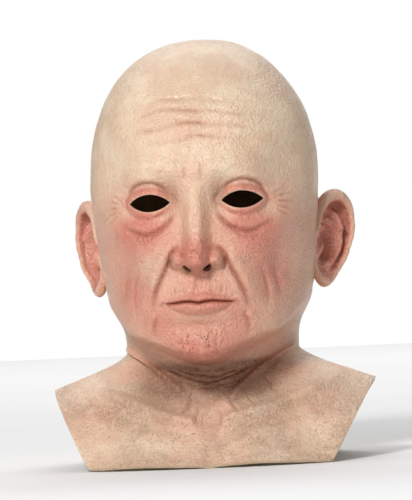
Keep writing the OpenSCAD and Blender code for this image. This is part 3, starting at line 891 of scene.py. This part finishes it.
def rear_skin():
    ways = grid_between([0, 0.5, 1, slit_way, 2, 3], [10, 22, 44, 28, 36])
    slit_row = 10 + 22 + 44
    left = grid_between([math.pi / 2, deg(BACK_CORNER), math.pi], [24, 20])
    th = []
    for w in ways:
        fold = math.pi + (float(fold_turn(w, FLAP_W)) if w > slit_way else 0)
        right = grid_between([fold, deg(360 - BACK_CORNER), 1.5 * math.pi], [20, 24])
        th.append(np.concatenate([left, right]))
    th = np.array(th)
    way = np.broadcast_to(ways[:, None], th.shape)
    return shell("rear_skin", th, way, pole=True, notch=(len(left) - 1, slit_row))


def back_flap():
    ways = grid_between([mix(slit_way, 3, 0.1), 2, 3], [22, 36])
    first = math.pi + SLIT_GAP / back_reach(ways)
    last = math.pi + fold_turn(ways, FLAP_W) - FOLD_GAP / back_reach(ways)
    th = first[:, None] + (last - first)[:, None] * np.linspace(0, 1, 33)
    return shell("back_flap", th, np.broadcast_to(ways[:, None], th.shape))


# ---------------------------------------------------------------- materials

class Nodes:
    """Short words for making and linking shader nodes."""

    def __init__(self, tree):
        self.tree = tree

    def make(self, kind, **settings):
        node = self.tree.nodes.new(kind)
        for key, value in settings.items():
            setattr(node, key, value)
        return node

    def link(self, a, b):
        self.tree.links.new(a, b)

    def feed(self, socket, value):
        """A number or a colour is set on the socket, anything else is linked to it."""
        if isinstance(value, tuple):
            socket.default_value = (*value, 1)
        elif isinstance(value, (int, float)):
            socket.default_value = value
        else:
            self.link(value, socket)

    def attribute(self, name):
        return self.make("ShaderNodeAttribute", attribute_name=name).outputs["Fac"]

    def fed(self, kind, inputs, output, **settings):
        """The output of a new node with its inputs fed."""
        node = self.make(kind, **settings)
        for key, value in inputs.items():
            self.feed(node.inputs[key], value)
        return node.outputs[output]

    def noise(self, coords, scale, detail=3.0, rough=0.55, warp=0.0):
        inputs = {"Vector": coords, "Scale": scale, "Detail": detail, "Roughness": rough, "Distortion": warp}
        return self.fed("ShaderNodeTexNoise", inputs, "Fac")

    def voronoi(self, coords, scale, randomness=1.0):
        inputs = {"Vector": coords, "Scale": scale, "Randomness": randomness}
        return self.fed("ShaderNodeTexVoronoi", inputs, "Distance", feature="F1")

    def fit(self, value, low, high, out_low=0.0, out_high=1.0):
        inputs = {"Value": value, "From Min": low, "From Max": high, "To Min": out_low, "To Max": out_high}
        return self.fed("ShaderNodeMapRange", inputs, "Result", interpolation_type="SMOOTHSTEP")

    def math(self, operation, a, b):
        return self.fed("ShaderNodeMath", {0: a, 1: b}, "Value", operation=operation)

    def times(self, a, b):
        return self.math("MULTIPLY", a, b)

    def plus(self, a, b):
        return self.math("ADD", a, b)

    def minus(self, a, b):
        return self.math("SUBTRACT", a, b)

    def blend(self, factor, a, b):
        """Colour a turning into colour b. The colour sockets of a Mix node are 6 and 7, and its output 2."""
        return self.fed("ShaderNodeMix", {"Factor": factor, 6: a, 7: b}, 2, data_type="RGBA")

    def bump(self, height, distance, strength):
        inputs = {"Height": height, "Distance": distance, "Strength": strength}
        return self.fed("ShaderNodeBump", inputs, "Normal")


class Material(Nodes):
    """A new material, with the place of each point on the object in at."""

    def __init__(self, name):
        self.material = bpy.data.materials.new(name)
        self.material.use_nodes = True
        super().__init__(self.material.node_tree)
        self.inputs = self.tree.nodes["Principled BSDF"].inputs
        self.at = self.make("ShaderNodeTexCoord").outputs["Object"]

    def surface(self, **values):
        """Feeds the surface's inputs, named in small letters with an underline for each space."""
        for key, value in values.items():
            self.feed(self.inputs[key.replace("_", " ").title()], value)
        return self.material


CREAM = (0.74, 0.54, 0.37)
PALE = (0.85, 0.69, 0.50)
SALMON = (0.68, 0.28, 0.195)
ROSE = (0.62, 0.18, 0.13)
# colour of the brown wash, also used as painted shade in creases and pits
WASH_AND_SHADE = (0.25, 0.070, 0.036)
SHADOW = (0.24, 0.115, 0.058)


def painted_latex():
    """Cream latex, airbrushed pink, darkened in the creases by a brown wash that is also painted shade, with
    painted shade under the chin and round the nose, an orange-peel stipple and pores.
    """
    n = Material("painted_latex")
    at = n.at
    flush, crease, painted_shade = n.attribute("flush"), n.attribute("crease"), n.attribute("painted_shade")
    clouds = n.noise(at, 28, 4, 0.6, 0.4)
    mottle = n.noise(at, 130, 3, 0.6)
    fine = n.noise(at, 620, 2, 0.6)
    color = n.blend(n.fit(clouds, 0.35, 0.68), CREAM, PALE)
    color = n.blend(n.times(n.fit(mottle, 0.45, 0.75), 0.22), color, SALMON)
    spray = n.times(flush, n.fit(n.noise(at, 60, 4, 0.65, 0.3), 0.2, 0.6, 0.62, 1.0))
    color = n.blend(n.math("MINIMUM", spray, 1.0), color, SALMON)
    deep = n.times(n.math("MAXIMUM", n.minus(flush, 0.62), 0.0), 1.5)
    color = n.blend(deep, color, ROSE)
    # painted shade under the chin and jaw, in the inner eye corners, round the nostrils and at the nape
    color = n.blend(n.times(painted_shade, n.fit(clouds, 0.2, 0.7, 0.75, 1.0)), color, SHADOW)
    # brown wash in the creases, which is also painted shade there, broken up a little by noise
    broken_wash = n.fit(fine, 0.3, 0.7, 0.65, 1.0)
    color = n.blend(n.times(n.times(crease, 0.82), broken_wash), color, WASH_AND_SHADE)
    pores = n.fit(n.voronoi(at, 470, randomness=0.95), 0.0, 0.36, 1.0, 0.0)
    pore_room = n.fit(n.noise(at, 55, 3, 0.6), 0.40, 0.60, 0.05, 1.0)
    pore = n.times(n.times(pores, pore_room), n.attribute("pore"))
    # pores darkened with the wash colour, which also paints in the shade in their pits
    color = n.blend(n.times(pore, 0.62), color, WASH_AND_SHADE)
    specks = n.fit(n.voronoi(at, 105, randomness=1.0), 0.0, 0.065, 1.0, 0.0)
    color = n.blend(n.times(specks, 0.75), color, WASH_AND_SHADE)
    stipple = n.fit(n.noise(at, 520, 2, 0.5), 0.34, 0.66)
    color = n.blend(n.times(n.minus(1.0, stipple), 0.16), color, SALMON)
    rough = n.fit(n.noise(at, 90, 4, 0.6), 0.3, 0.7, 0.33, 0.50)
    peel = n.plus(n.times(stipple, 0.42), n.times(n.noise(at, 240, 3, 0.55), 1.1))
    crackle = n.fit(n.noise(at, 330, 4, 0.62, 1.2), 0.36, 0.64, 0.0, 0.85)
    crackle_room = n.times(n.fit(n.noise(at, 24, 3, 0.6), 0.38, 0.56), n.attribute("grain"))
    height = n.minus(peel, n.times(pore, 1.6))
    height = n.plus(height, n.times(crackle, crackle_room))
    height = n.minus(height, n.times(specks, 1.2))
    stippled = n.bump(height, 0.0009, 0.95)
    n.inputs["Subsurface Radius"].default_value = (1.0, 0.42, 0.25)
    return n.surface(base_color=color, roughness=rough, normal=stippled, subsurface_weight=0.08,
                     subsurface_scale=0.004, coat_weight=0.26, coat_roughness=0.28, coat_normal=stippled)


def raw_latex(name="raw_latex", color=(0.50, 0.34, 0.19), dark=(0.38, 0.25, 0.135)):
    """Bare latex as it comes out of the mould: cloudy, matt, with drips and brush marks."""
    n = Material(name)
    at = n.at
    drips = n.make("ShaderNodeMapping")
    drips.inputs["Scale"].default_value = (1, 1, 0.22)
    n.link(at, drips.inputs["Vector"])
    streaks = n.noise(drips.outputs["Vector"], 75, 4, 0.6, 0.6)
    tone = n.blend(n.fit(streaks, 0.35, 0.68), dark, color)
    tone = n.blend(n.times(n.noise(at, 420, 2, 0.6), 0.2), tone, (0.6, 0.45, 0.28))
    rough = n.fit(streaks, 0.3, 0.7, 0.5, 0.72)
    height = n.plus(n.times(streaks, 1.2), n.times(n.noise(at, 520, 3, 0.6), 0.4))
    return n.surface(base_color=tone, roughness=rough, normal=n.bump(height, 0.0005, 0.8))


def cut_latex():
    """The pale body of the latex, seen where it was cut with scissors."""
    n = Material("cut_latex")
    at = n.at
    grain = n.noise(at, 700, 3, 0.6)
    tone = n.blend(n.fit(grain, 0.3, 0.7), (0.66, 0.47, 0.30), (0.82, 0.65, 0.46))
    rough = n.fit(grain, 0.3, 0.7, 0.5, 0.68)
    return n.surface(base_color=tone, roughness=rough, normal=n.bump(grain, 0.0003, 0.7))


def flush_over(x, z, turn, front, low, crease):
    """Where the pink is sprayed, 0 to 1."""
    ax = np.abs(x)
    patchy = 0.5 + 0.5 * np.sin(x * 0.071 + 1.3) * np.sin(z * 0.093 + x * 0.031)
    spray = (0.48 + 0.16 * patchy) * smooth((34 - z) / 46)
    # nose, chin, forehead, between the brows, mouth
    spray += spots(x, z, (0.66, 0, -27, 14, 13), (0.42, 0, -98, 26, 14), (0.34, 0, 66, 36, 13),
                   (0.42, 0, 32, 13, 10), (0.15, 0, -60, 34, 22))
    # cheekbones, cheeks, over and under the eyes, corners of the mouth, temples
    spray += spots(ax, z, (0.42, 44, -12, 18, 15), (0.28, 52, -48, 15, 26), (0.42, 35, 22, 22, 7),
                   (0.30, 36, -6, 18, 7), (0.2, 27, -78, 13, 16), (0.2, 60, 20, 20, 22))
    lens = lens_distance(ax - EYE_X, z - EYE_Z, EYE_W, EYE_H)
    spray += 0.38 * bell(lens - 2.5, 2.6) * (z > -10)
    spray += 0.22 * crease
    upper, lower = lip_edges(ax)
    spray += 0.16 * smooth((upper - z) / 1.2) * smooth((z - lower) / 1.2) * smooth((MOUTH_HALF - ax) / 2)
    spray *= front * (1 - 0.85 * low)
    spray += 0.38 * bell(turn - EAR_TURN, 16) * bell(z - EAR_MID_Z, 42) * (z > -90)
    spray += low * (0.34 * bump(x, z + 150, 26, 20) * front + 0.10 * patchy * front
                    + 0.22 * bump(ax - 84, z + 140, 22, 12))
    return np.clip(spray + 0.14 * smooth((-80 - z) / 30) * (1 - front), 0, 1)


def painted_shade_over(x, y, z, turn, front):
    """Where shade is painted in, 0 to 1: under the chin and jaw, in the inner eye corners, round and beside
    the nostrils, and at the nape.
    """
    ax = np.abs(x)
    under_chin = smooth((-104 - z) / 8) * smooth((z + 148) / 22)
    under_chin *= smooth((74 - ax) / 40) * smooth((-y - 14) / 20)
    under_left = 0.3 * smooth((-100 - z) / 10) * smooth((z + 140) / 18) * bell(x - 48, 26)
    inner_corner = 0.65 * bump(ax - 17.5, z - 15, 5.5, 8) * front
    behind_nose = (0.3 * bump(ax - 20, z + 34, 4.5, 7) + 0.95 * bump(ax - 7.6, z + 39.5, 5.5, 3.2)) * front
    nape = 0.25 * smooth((turn - 140) / 30) * bell(z + 76, 14)
    jaw_side = 0.28 * bump(turn - 78, z + 82, 26, 16)
    return np.clip(under_chin + under_left + inner_corner + behind_nose + nape + jaw_side, 0, 1)


def paint_skin(obj):
    """Paint layers, worked out from where each point lies: pink flush, painted shade, open pores and grain.
    """
    mesh = obj.data
    x, y, z = mesh_points(mesh).T
    ax, turn = np.abs(x), turn_of(np.arctan2(x, -y))
    front = smooth((84 - turn) / 20)
    low = smooth((-116 - z) / 12)
    paint_layer(mesh, "flush", flush_over(x, z, turn, front, low, mesh_layer(mesh, "crease")))
    paint_layer(mesh, "painted_shade", painted_shade_over(x, y, z, turn, front))
    open_pores = spots(ax, z, (1, 0, -95, 26, 16), (1, 0, -28, 15, 12), (0.6, 40, -30, 20, 22)) + 0.5 * low
    paint_layer(mesh, "pore", 0.25 + 0.75 * np.clip(open_pores, 0, 1) * front)
    paint_layer(mesh, "grain", np.clip(0.12 + 0.75 * low + 0.3 * bump(ax - 45, z + 40, 22, 34) * front, 0, 1))


def finish_skin(obj, body):
    paint_skin(obj)
    smooth_shading(obj.data)
    if body is not None:
        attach(obj, body)
    return obj


SKIN_MATERIALS = (painted_latex(), raw_latex(), cut_latex())
face = face_skin()
finish_skin(face, "mask")
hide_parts("face_skin")
rear = finish_skin(rear_skin(), "mask")
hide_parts("rear_skin")

hinge = next(j for j in frame["joints"] if j["name"] == "flap_fold")
axis = Vector(hinge["axis"]).normalized()
across = Vector((1, 0, 0)) - axis * axis.x
across.normalize()


def bend_with_flap(obj):
    """Writes the object's placement into its mesh. It does not bend the latex at the fold or swing it with
    the flap.
    """
    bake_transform(obj)


flap = finish_skin(back_flap(), None)
bend_with_flap(flap)
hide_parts("back_flap")


# ---------------------------------------------------------------- ears

def ear_outline(t):
    """Edge of an ear on its own plane, broad above and drawn in to the lobe, as in the frame."""
    wide = EAR_W / 2 * ((1 + 0.24 * np.sin(t)) * np.cos(t) - 0.12 * (1 - np.sin(t)) + 0.06)
    return wide, EAR_H / 2 * np.sin(t)


def rim_reach(t):
    """Where the rolled rim of an ear is full: over the top and down the back, not on the lobe."""
    angle = (np.degrees(t) + 90) % 360 - 90
    return smooth((angle + 52) / 34) * smooth((196 - angle) / 26)


def ear_height(x, z, share, t):
    """Relief of an ear's outward face. x runs away from the head and z up, both from the ear's middle."""
    relief = Relief(x.shape)
    rim = rim_reach(t)
    relief.add((5.0 * bell(share - 0.905, 0.085) + 0.8 * bell(share - 1, 0.06)) * rim)
    relief.add(1.2 * bell(share - 0.93, 0.10) * (1 - rim))
    relief.add(-3.0 * bell(share - 0.70, 0.075) * rim * smooth((x + 9) / 8))
    # painted shade in the groove inside the rim
    relief.wash_and_shade(0.9 * bell(share - 0.76, 0.05) * rim * smooth((x + 10) / 8))
    # hollow under the rim at the top, and the three-cornered one between the branches, both darkened with
    # painted shade
    relief.add(spots(x, z, (-3.0, 5, 24.5, 8, 4.2)))
    relief.wash_and_shade(0.75 * bump(x - 6, z - 25.5, 7.5, 3.6))
    relief.add(spots(x, z, (-2.4, -3.5, 18.5, 4, 3.6)))
    relief.wash_and_shade(0.35 * bump(x + 3.5, z - 18.5, 3.4, 3))
    for line, h in (([(-2, 24), (3.5, 16.5), (8.2, 7), (8.4, -5), (3.6, -15), (-4, -19)], 4.2),
                    ([(-11, 14.5), (-4, 12.5), (3.5, 11), (8, 6)], 3.2)):
        sd, along = stroke(x, z, line)
        relief.add(h * bell(sd, 2.5) * taper(along, 0.15, 0.15))
    # bowl, with the root of the rim crossing it, darkened with painted shade
    bowl = smooth(1.28 - np.hypot((x + 4.6) / 9.2, (z + 3.5) / 14.5))
    relief.add(-11.0 * bowl)
    relief.wash_and_shade(0.85 * smooth(1.02 - np.hypot((x + 5.5) / 8.5, (z + 3.0) / 12.5)))
    sd, along = stroke(x, z, [(-19, 9), (-12.5, 4.5), (-5, 1.5), (1, 1.5)])
    relief.add(6.0 * bell(sd, 2.3) * taper(along, 0.1, 0.5))
    # flap in front of the canal, the knob across from it, and the lobe
    relief.add(spots(x, z, (8.0, -14.0, -8.5, 3.6, 7.0), (4.6, -2.6, -20.0, 4.6, 3.4),
                     (3.0, -4.5, -31, 7.5, 5.5)))
    relief.wrinkle(x, z, [(7.5, -12), (5, -20), (0, -25.5)], 1.3, 1.5, (0.3, 0.4), 0.2)
    relief.groove(np.hypot(x + 9, z + 18.5) - 2.4, 1.2, 1.5, smooth((-14 - z) / 3) * smooth((z + 24) / 3), 0)
    relief.add(0.35 * np.sin(x * 0.35 + 1) * np.sin(z * 0.21) + 0.20 * np.sin(x * 0.9 + z * 0.7))
    return relief.height, relief.crease


def ear_rings(t, shares):
    """Rings of points from the middle of the outward face over the rim to the back, and their creases."""
    edge_x, edge_z = ear_outline(t)
    x, z = edge_x * shares, edge_z * shares
    height, crease = ear_height(x, z, np.broadcast_to(shares, x.shape), t)
    # the rim curls in over the groove beside it
    curl = 1 - 0.085 * bell(shares - 0.86, 0.05) * rim_reach(t)
    dish = 2.4 * shares ** 2 - 1.2
    front = np.stack([x * curl, -(height + dish), z * curl], -1)
    back_height = -4.4 - 1.8 * (1 - shares ** 2) + np.clip(height, -11, 0) * 0.85
    back = np.stack([x * 0.975, -(back_height + dish), z * 0.975], -1)[::-1]
    rim = []
    for k in (0.2, 0.4, 0.6, 0.8):
        swell = 1.5 * math.sin(math.pi * k)
        rim.append(front[-1] * (1 - k) + back[0] * k + np.stack([np.cos(t), 0 * t, np.sin(t)], -1) * swell)
    crease = np.concatenate([crease, np.zeros((4, len(t))), np.zeros_like(crease)], 0)
    return np.concatenate([front, np.array(rim), back], 0), np.clip(crease, 0, 1)


def ear(side):
    """An ear on its leaning plane, its root sunk in the skin of the head."""
    turns = 144
    t = np.linspace(0, 2 * math.pi, turns, endpoint=False)
    shares = np.concatenate([np.linspace(0.02, 0.66, 22), np.linspace(0.68, 1, 30)])[:, None]
    rings, crease = ear_rings(t, shares)
    flare = EAR_FLARE + FLARE_SKEW * side
    root_x = float(plain(deg(92), way_number(deg(92), EAR_MID_Z))[..., 0])
    turned = np.array(Matrix.Rotation(deg(90 - flare), 3, "Z") @ Matrix.Rotation(deg(EAR_LEAN), 3, "Y"))
    reach = EAR_W / 2 - 4
    shift = np.array([root_x + math.sin(deg(flare)) * reach, 2 + math.cos(deg(flare)) * reach, EAR_MID_Z])
    points = rings.reshape(-1, 3) @ turned.T + shift
    # what lies inside the head stays within the thickness of its skin
    th = np.arctan2(points[:, 0], -points[:, 1])
    skin = outer(th, way_at(th, points[:, 2]))[0]
    skin_r = np.hypot(skin[:, 0], skin[:, 1])
    own_r = np.hypot(points[:, 0], points[:, 1])
    over = np.full(rings.shape[:2], -1.0)
    over[:len(shares)] = mix(-1.0, 0.7, smooth((1 - shares) / 0.10))
    points[:, :2] *= (np.maximum(own_r, skin_r + over.ravel()) / own_r)[:, None]
    points[:, 0] *= side
    n = len(rings)
    ids = np.arange(n * turns).reshape(n, turns)
    faces = quads(np.hstack([ids, ids[:, :1]])) + [ids[0].tolist(), ids[-1][::-1].tolist()]
    mesh = build_mesh("ear", points, faces)
    name = "left_ear" if side > 0 else "right_ear"
    obj = new_object(name + "_mesh", mesh)
    edge = np.concatenate([shares, np.ones((4, 1)), shares[::-1]], 0) + np.zeros(turns)
    # the ear's creases take the brown wash and painted shade, and a little more painted shade on top
    paint_layer(mesh, "crease", (crease * 0.62).ravel())
    paint_layer(mesh, "flush", (0.92 - 0.45 * bell(edge - 0.94, 0.07)).ravel())
    paint_layer(mesh, "painted_shade", (0.12 * crease).ravel())
    paint_layer(mesh, "pore", np.full(len(points), 0.5))
    paint_layer(mesh, "grain", np.full(len(points), 0.1))
    mesh.materials.append(SKIN_MATERIALS[0])
    smooth_shading(mesh, 75)
    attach(obj, "mask")
    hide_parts(name)


for ear_side in (1, -1):
    ear(ear_side)


# ---------------------------------------------------------------- closure and lining

def soft_height(th, way):
    """Height of the relief as it comes through on the inside, with its fine lines evened out."""
    total = 0
    for turn, step in ((0, 0), (0.05, 0), (-0.05, 0), (0, 0.035), (0, -0.035)):
        a, w = th + turn, np.clip(way + step, 0.001, 3)
        total = total + sculpt(a, w, plain(a, w))[0] / 5
    return total


def lining(th, way, depth):
    """Points at a depth under the outer surface."""
    height = soft_height(th, way)
    return plain(th, way) + plain_normal(th, way) * (height - depth)[..., None]


def slab_mesh(name, top, bottom, closed=False):
    """A closed solid between two grids of points; closed joins the last column to the first."""
    rows, cols = top.shape[:2]
    ids = np.arange(rows * cols).reshape(rows, cols)
    if closed:
        ids = np.hstack([ids, ids[:, :1]])
    low = ids + rows * cols
    faces = quads(ids) + [face[:1] + face[:0:-1] for face in quads(low)]
    faces += quads(np.stack([ids[-1], low[-1]]))
    if closed:
        faces += [ids[0, :-1].tolist(), low[0, -2::-1].tolist()]
    else:
        faces += quads(np.stack([ids[0], low[0]]))
        for j in (0, -1):
            faces += quads(np.stack([ids[:, j], low[:, j]]))
    return build_mesh(name, np.vstack([top.reshape(-1, 3), bottom.reshape(-1, 3)]), faces)


def arcs_from_slit(way, first, last, count):
    """Angles at even distances in mm past the slit, at each way."""
    return math.pi + np.linspace(first, last, count) / back_reach(way)[:, None]


def finish_piece(obj, name, material, degrees=50):
    obj.data.materials.append(material)
    smooth_shading(obj.data, degrees)
    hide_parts(name)
    return obj


def lining_piece(name, top, bottom, material, degrees=50, closed=False):
    """A piece of the lining between two grids of points, fixed inside the mask."""
    obj = new_object(name + "_mesh", slab_mesh(name, top, bottom, closed))
    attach(obj, "mask")
    return finish_piece(obj, name, material, degrees)


HOOK_DEPTH = SKIN_T + GLUE
LOOP_DEPTH = HOOK_DEPTH + TAPE_T + ROOM
PLACKET_DEPTH = LOOP_DEPTH + TAPE_T + GLUE
TAPE_WAYS = np.linspace(mix(slit_way, 3, 0.55), 2.93, 60)


def tape_piece(name, depth, thick, material):
    """A length of tape beside the slit, its long edges a little thinner, like a woven selvedge."""
    th = arcs_from_slit(TAPE_WAYS, 3, 3 + TAPE_W, 25)
    way = np.broadcast_to(TAPE_WAYS[:, None], th.shape)
    s = np.linspace(-1, 1, 25)
    thin = 0.3 * smooth((np.abs(s) - 0.86) / 0.14) * thick
    top, bottom = lining(th, way, depth), lining(th, way, depth + thick - thin)
    return finish_piece(new_object(name + "_mesh", slab_mesh(name, top, bottom)), name, material)


def placket():
    """The underlap: glued inside the slit's left edge, it steps down to pass under the flap."""
    way = np.linspace(slit_way - 0.08, 2.96, 90)
    first, last, count = -20, TAPE_W + 6, 60
    th = arcs_from_slit(way, first, last, count)
    stepped = smooth((np.linspace(first, last, count) + 8) / 3.2)
    ways = np.broadcast_to(way[:, None], th.shape)
    top = lining(th, ways, mix(SKIN_T + GLUE, PLACKET_DEPTH, stepped))
    bottom = lining(th, ways, PLACKET_DEPTH + PLACKET_T + 0.12 * np.sin(ways * 40) * np.sin(th * 60))
    lining_piece("placket", top, bottom, underlap_latex())


def pile_tape(name, dark, light, scale, tall):
    """Hook or loop pile: close rows of tiny bristles or loops on a woven tape."""
    n = Material(name)
    at = n.at
    cells = n.voronoi(at, scale, randomness=0.35)
    tufts = n.fit(cells, 0.05, 0.5, 1.0, 0.0)
    fuzz = n.noise(at, 1900, 2, 0.7)
    tone = n.blend(n.times(tufts, n.fit(fuzz, 0.3, 0.7, 0.4, 1.0)), dark, light)
    rough = n.fit(fuzz, 0.3, 0.7, 0.75, 0.92)
    height = n.plus(tufts, n.times(fuzz, 0.5))
    return n.surface(base_color=tone, roughness=rough, normal=n.bump(height, tall, 0.9), sheen_weight=0.35)


def woven_cotton():
    """Plain-weave tape: warp over weft, with slubs and a little yellowing."""
    n = Material("woven_cotton")
    at = n.at
    bands = []
    for direction in ("Z", "Y"):
        inputs = {"Vector": at, "Scale": 330, "Distortion": 0.6, "Detail Scale": 60}
        bands.append(n.fed("ShaderNodeTexWave", inputs, "Fac", wave_type="BANDS", wave_profile="SIN",
                           bands_direction=direction))
    weave = n.times(bands[0], bands[1])
    aged = n.fit(n.noise(at, 60, 4, 0.6), 0.35, 0.7)
    tone = n.blend(aged, (0.72, 0.66, 0.53), (0.82, 0.78, 0.67))
    tone = n.blend(n.fit(weave, 0.0, 0.6, 0.55, 0.0), tone, (0.50, 0.43, 0.32))
    rough = n.fit(n.noise(at, 700, 2, 0.6), 0.3, 0.7, 0.8, 0.95)
    return n.surface(base_color=tone, roughness=rough, normal=n.bump(weave, 0.0004, 0.9))


def open_foam():
    """Pale grey foam with open cells."""
    n = Material("open_foam")
    at = n.at
    cells = n.fit(n.voronoi(at, 760, randomness=1.0), 0.0, 0.42, 1.0, 0.0)
    large = n.fit(n.voronoi(at, 300, randomness=1.0), 0.0, 0.20, 1.0, 0.0)
    tone = n.blend(n.fit(n.noise(at, 40, 3, 0.6), 0.35, 0.7), (0.50, 0.49, 0.46), (0.60, 0.59, 0.55))
    tone = n.blend(n.times(cells, 0.55), tone, (0.30, 0.29, 0.27))
    tone = n.blend(n.times(large, 0.5), tone, (0.22, 0.21, 0.20))
    rough = n.fit(cells, 0.0, 1.0, 0.8, 0.95)
    pits = n.times(n.plus(cells, large), -1.0)
    return n.surface(base_color=tone, roughness=rough, normal=n.bump(pits, 0.0006, 0.9))


def underlap_latex():
    return raw_latex("underlap_latex", (0.62, 0.47, 0.29), (0.50, 0.36, 0.21))


def seam_tape(side, material):
    """Cloth tape glued inside over a side seam."""
    way, over = np.linspace(0.55, 2.95, 150), np.linspace(-1, 1, 17)
    half = SEAM_TAPE_W / 2 / plain(np.full(way.shape, math.pi / 2), way)[:, 0]
    th = math.pi / 2 + half[:, None] * over
    ways = np.broadcast_to(way[:, None], th.shape)
    depth = SKIN_T + GLUE + 0.15
    fray = 0.10 * np.sin(ways * 190) * (np.abs(over) > 0.9)
    top, bottom = lining(th, ways, depth), lining(th, ways, depth + SEAM_TAPE_T - fray)
    for grid in (top, bottom):
        grid[..., 0] *= side
    name = "left_seam_tape" if side > 0 else "right_seam_tape"
    obj = lining_piece(name, top, bottom, material)


def rounded(distance, radius=3.4):
    """Share of a pad's thickness at a distance from its edge."""
    return np.sqrt(np.clip(1 - (1 - np.clip(distance / radius, 0, 1)) ** 2, 0.004, 1))


def edge_dense(count):
    return 0.5 - 0.5 * np.cos(np.linspace(0, math.pi, count))


def pad(name, th, way, edge, lumps, material, closed=False):
    """A foam pad over a grid of angles and ways, full where its edge is far enough off."""
    full = rounded(edge)
    skin_side = SKIN_T + PAD_GLUE
    middle = skin_side + PAD_T * 0.35
    top = lining(th, way, mix(middle, skin_side, full))
    bottom = lining(th, way, mix(middle, skin_side + PAD_T + lumps, full))
    obj = lining_piece(name, top, bottom, material, 80, closed)


def front_pad(name, half_turn, low_z, tall_z, rows, cols, material):
    """A foam pad on the inside of the front, with its four corners rounded."""
    s, t = edge_dense(cols)[None, :], edge_dense(rows)[:, None]
    upper, lower = way_number(0, low_z + tall_z), way_number(0, low_z)
    th, way = np.broadcast_arrays(deg(half_turn) * (2 * s - 1), mix(upper, lower, t))
    p = plain(th, way)
    wide = np.linalg.norm(np.diff(p, axis=1), axis=-1).sum(1).mean()
    tall = np.linalg.norm(np.diff(p, axis=0), axis=-1).sum(0).mean()
    from_side, from_end = np.minimum(s, 1 - s) * wide, np.minimum(t, 1 - t) * tall
    edge = np.minimum(from_side, from_end)
    corner = np.hypot(np.maximum(PAD_CORNER - from_side, 0), np.maximum(PAD_CORNER - from_end, 0))
    edge = np.where(corner > 0, np.minimum(edge, np.maximum(PAD_CORNER - corner, 0)), edge)
    pad(name, th, way, edge, 0.25 * np.sin(th * 22 + 1) * np.sin(way * 31), material)


def crown_pad(material):
    """A round foam pad in the crown with a rounded rim."""
    edge_way = CROWN_PAD_D / HEAD_W * 0.75
    rows = np.linspace(0.004, 1, 40) ** 0.75 * edge_way
    columns = np.linspace(0, 2 * math.pi, 96, endpoint=False)
    th, way = np.broadcast_arrays(columns, rows[:, None])
    mm_per_way = 118
    lumps = 0.3 * np.sin(th * 3 + 1) * np.sin(way * 17)
    pad("crown_pad", th, way, (edge_way - way) * mm_per_way, lumps, material, closed=True)


placket()
loop_pile = pile_tape("loop_pile", (0.05, 0.047, 0.045), (0.20, 0.19, 0.18), 900, 0.0006)
loop = tape_piece("loop_tape", LOOP_DEPTH, TAPE_T, loop_pile)
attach(loop, "mask")
hook_pile = pile_tape("hook_pile", (0.02, 0.02, 0.02), (0.11, 0.11, 0.105), 760, 0.0008)
hook = tape_piece("hook_tape", HOOK_DEPTH, TAPE_T, hook_pile)
bend_with_flap(hook)
cotton = woven_cotton()
for tape_side in (1, -1):
    seam_tape(tape_side, cotton)
foam = open_foam()
front_pad("brow_pad", 36, BROW_Z + 8, BROW_PAD_H, 44, 84, foam)
front_pad("chin_pad", 18.5, CHIN_TURN + 3 - CHIN_DROP, CHIN_PAD_H, 36, 52, foam)
crown_pad(foam)


# ---------------------------------------------------------------- stage

def make_floor():
    low = float(cad_low.z) - 0.001
    mesh = bpy.data.meshes.new("floor")
    side, front, rear = 6.0, -6.0, 3.0
    corners = [(-side, front, low), (side, front, low), (side, rear, low), (-side, rear, low)]
    mesh.from_pydata(corners, [], [[0, 1, 2, 3]])
    floor = new_object("floor", mesh)
    n = Material("floor_paper")
    tone = n.blend(n.fit(n.noise(n.at, 3, 2, 0.5), 0.3, 0.7), (0.90, 0.90, 0.90), (0.92, 0.92, 0.92))
    mesh.materials.append(n.surface(base_color=tone, roughness=0.9))


def area_light(name, place_at, target, size, power):
    data = bpy.data.lights.new(name, "AREA")
    data.shape = "RECTANGLE"
    data.size, data.size_y = size
    data.energy = power
    light = bpy.data.objects.new(name, data)
    direction = Vector(place_at) - Vector(target)
    light.matrix_world = Matrix.Translation(place_at) @ direction.to_track_quat("Z", "Y").to_matrix().to_4x4()
    bpy.context.scene.collection.objects.link(light)


def make_lights():
    area_light("key", (-0.46, -1.80, 1.08), (0, -0.05, -0.03), (0.40, 0.40), 34)
    area_light("fill", (1.5, -1.4, 0.0), (0, -0.05, 0), (1.0, 1.4), 0.4)
    area_light("rim", (1.0, 1.0, 0.8), (0, 0, 0), (0.6, 0.9), 0.8)
    area_light("floor_wash", (0, 2.4, 2.2), (0, 2.2, -0.2), (4.0, 3.0), 75)
    world = bpy.data.worlds.new("studio")
    bpy.context.scene.world = world
    world.use_nodes = True
    tree = world.node_tree
    n = Nodes(tree)
    # a white wall straight behind the object, a dimmer room round it
    split = n.make("ShaderNodeSeparateXYZ")
    n.link(n.make("ShaderNodeTexCoord").outputs["Generated"], split.inputs["Vector"])
    strength = n.fit(split.outputs["Y"], 0.90, 0.985, 0.22, 1.0)
    tree.nodes["Background"].inputs["Color"].default_value = (1, 1, 1, 1)
    n.link(strength, tree.nodes["Background"].inputs["Strength"])


make_floor()
make_lights()
bpy.context.scene.view_settings.view_transform = "Standard"
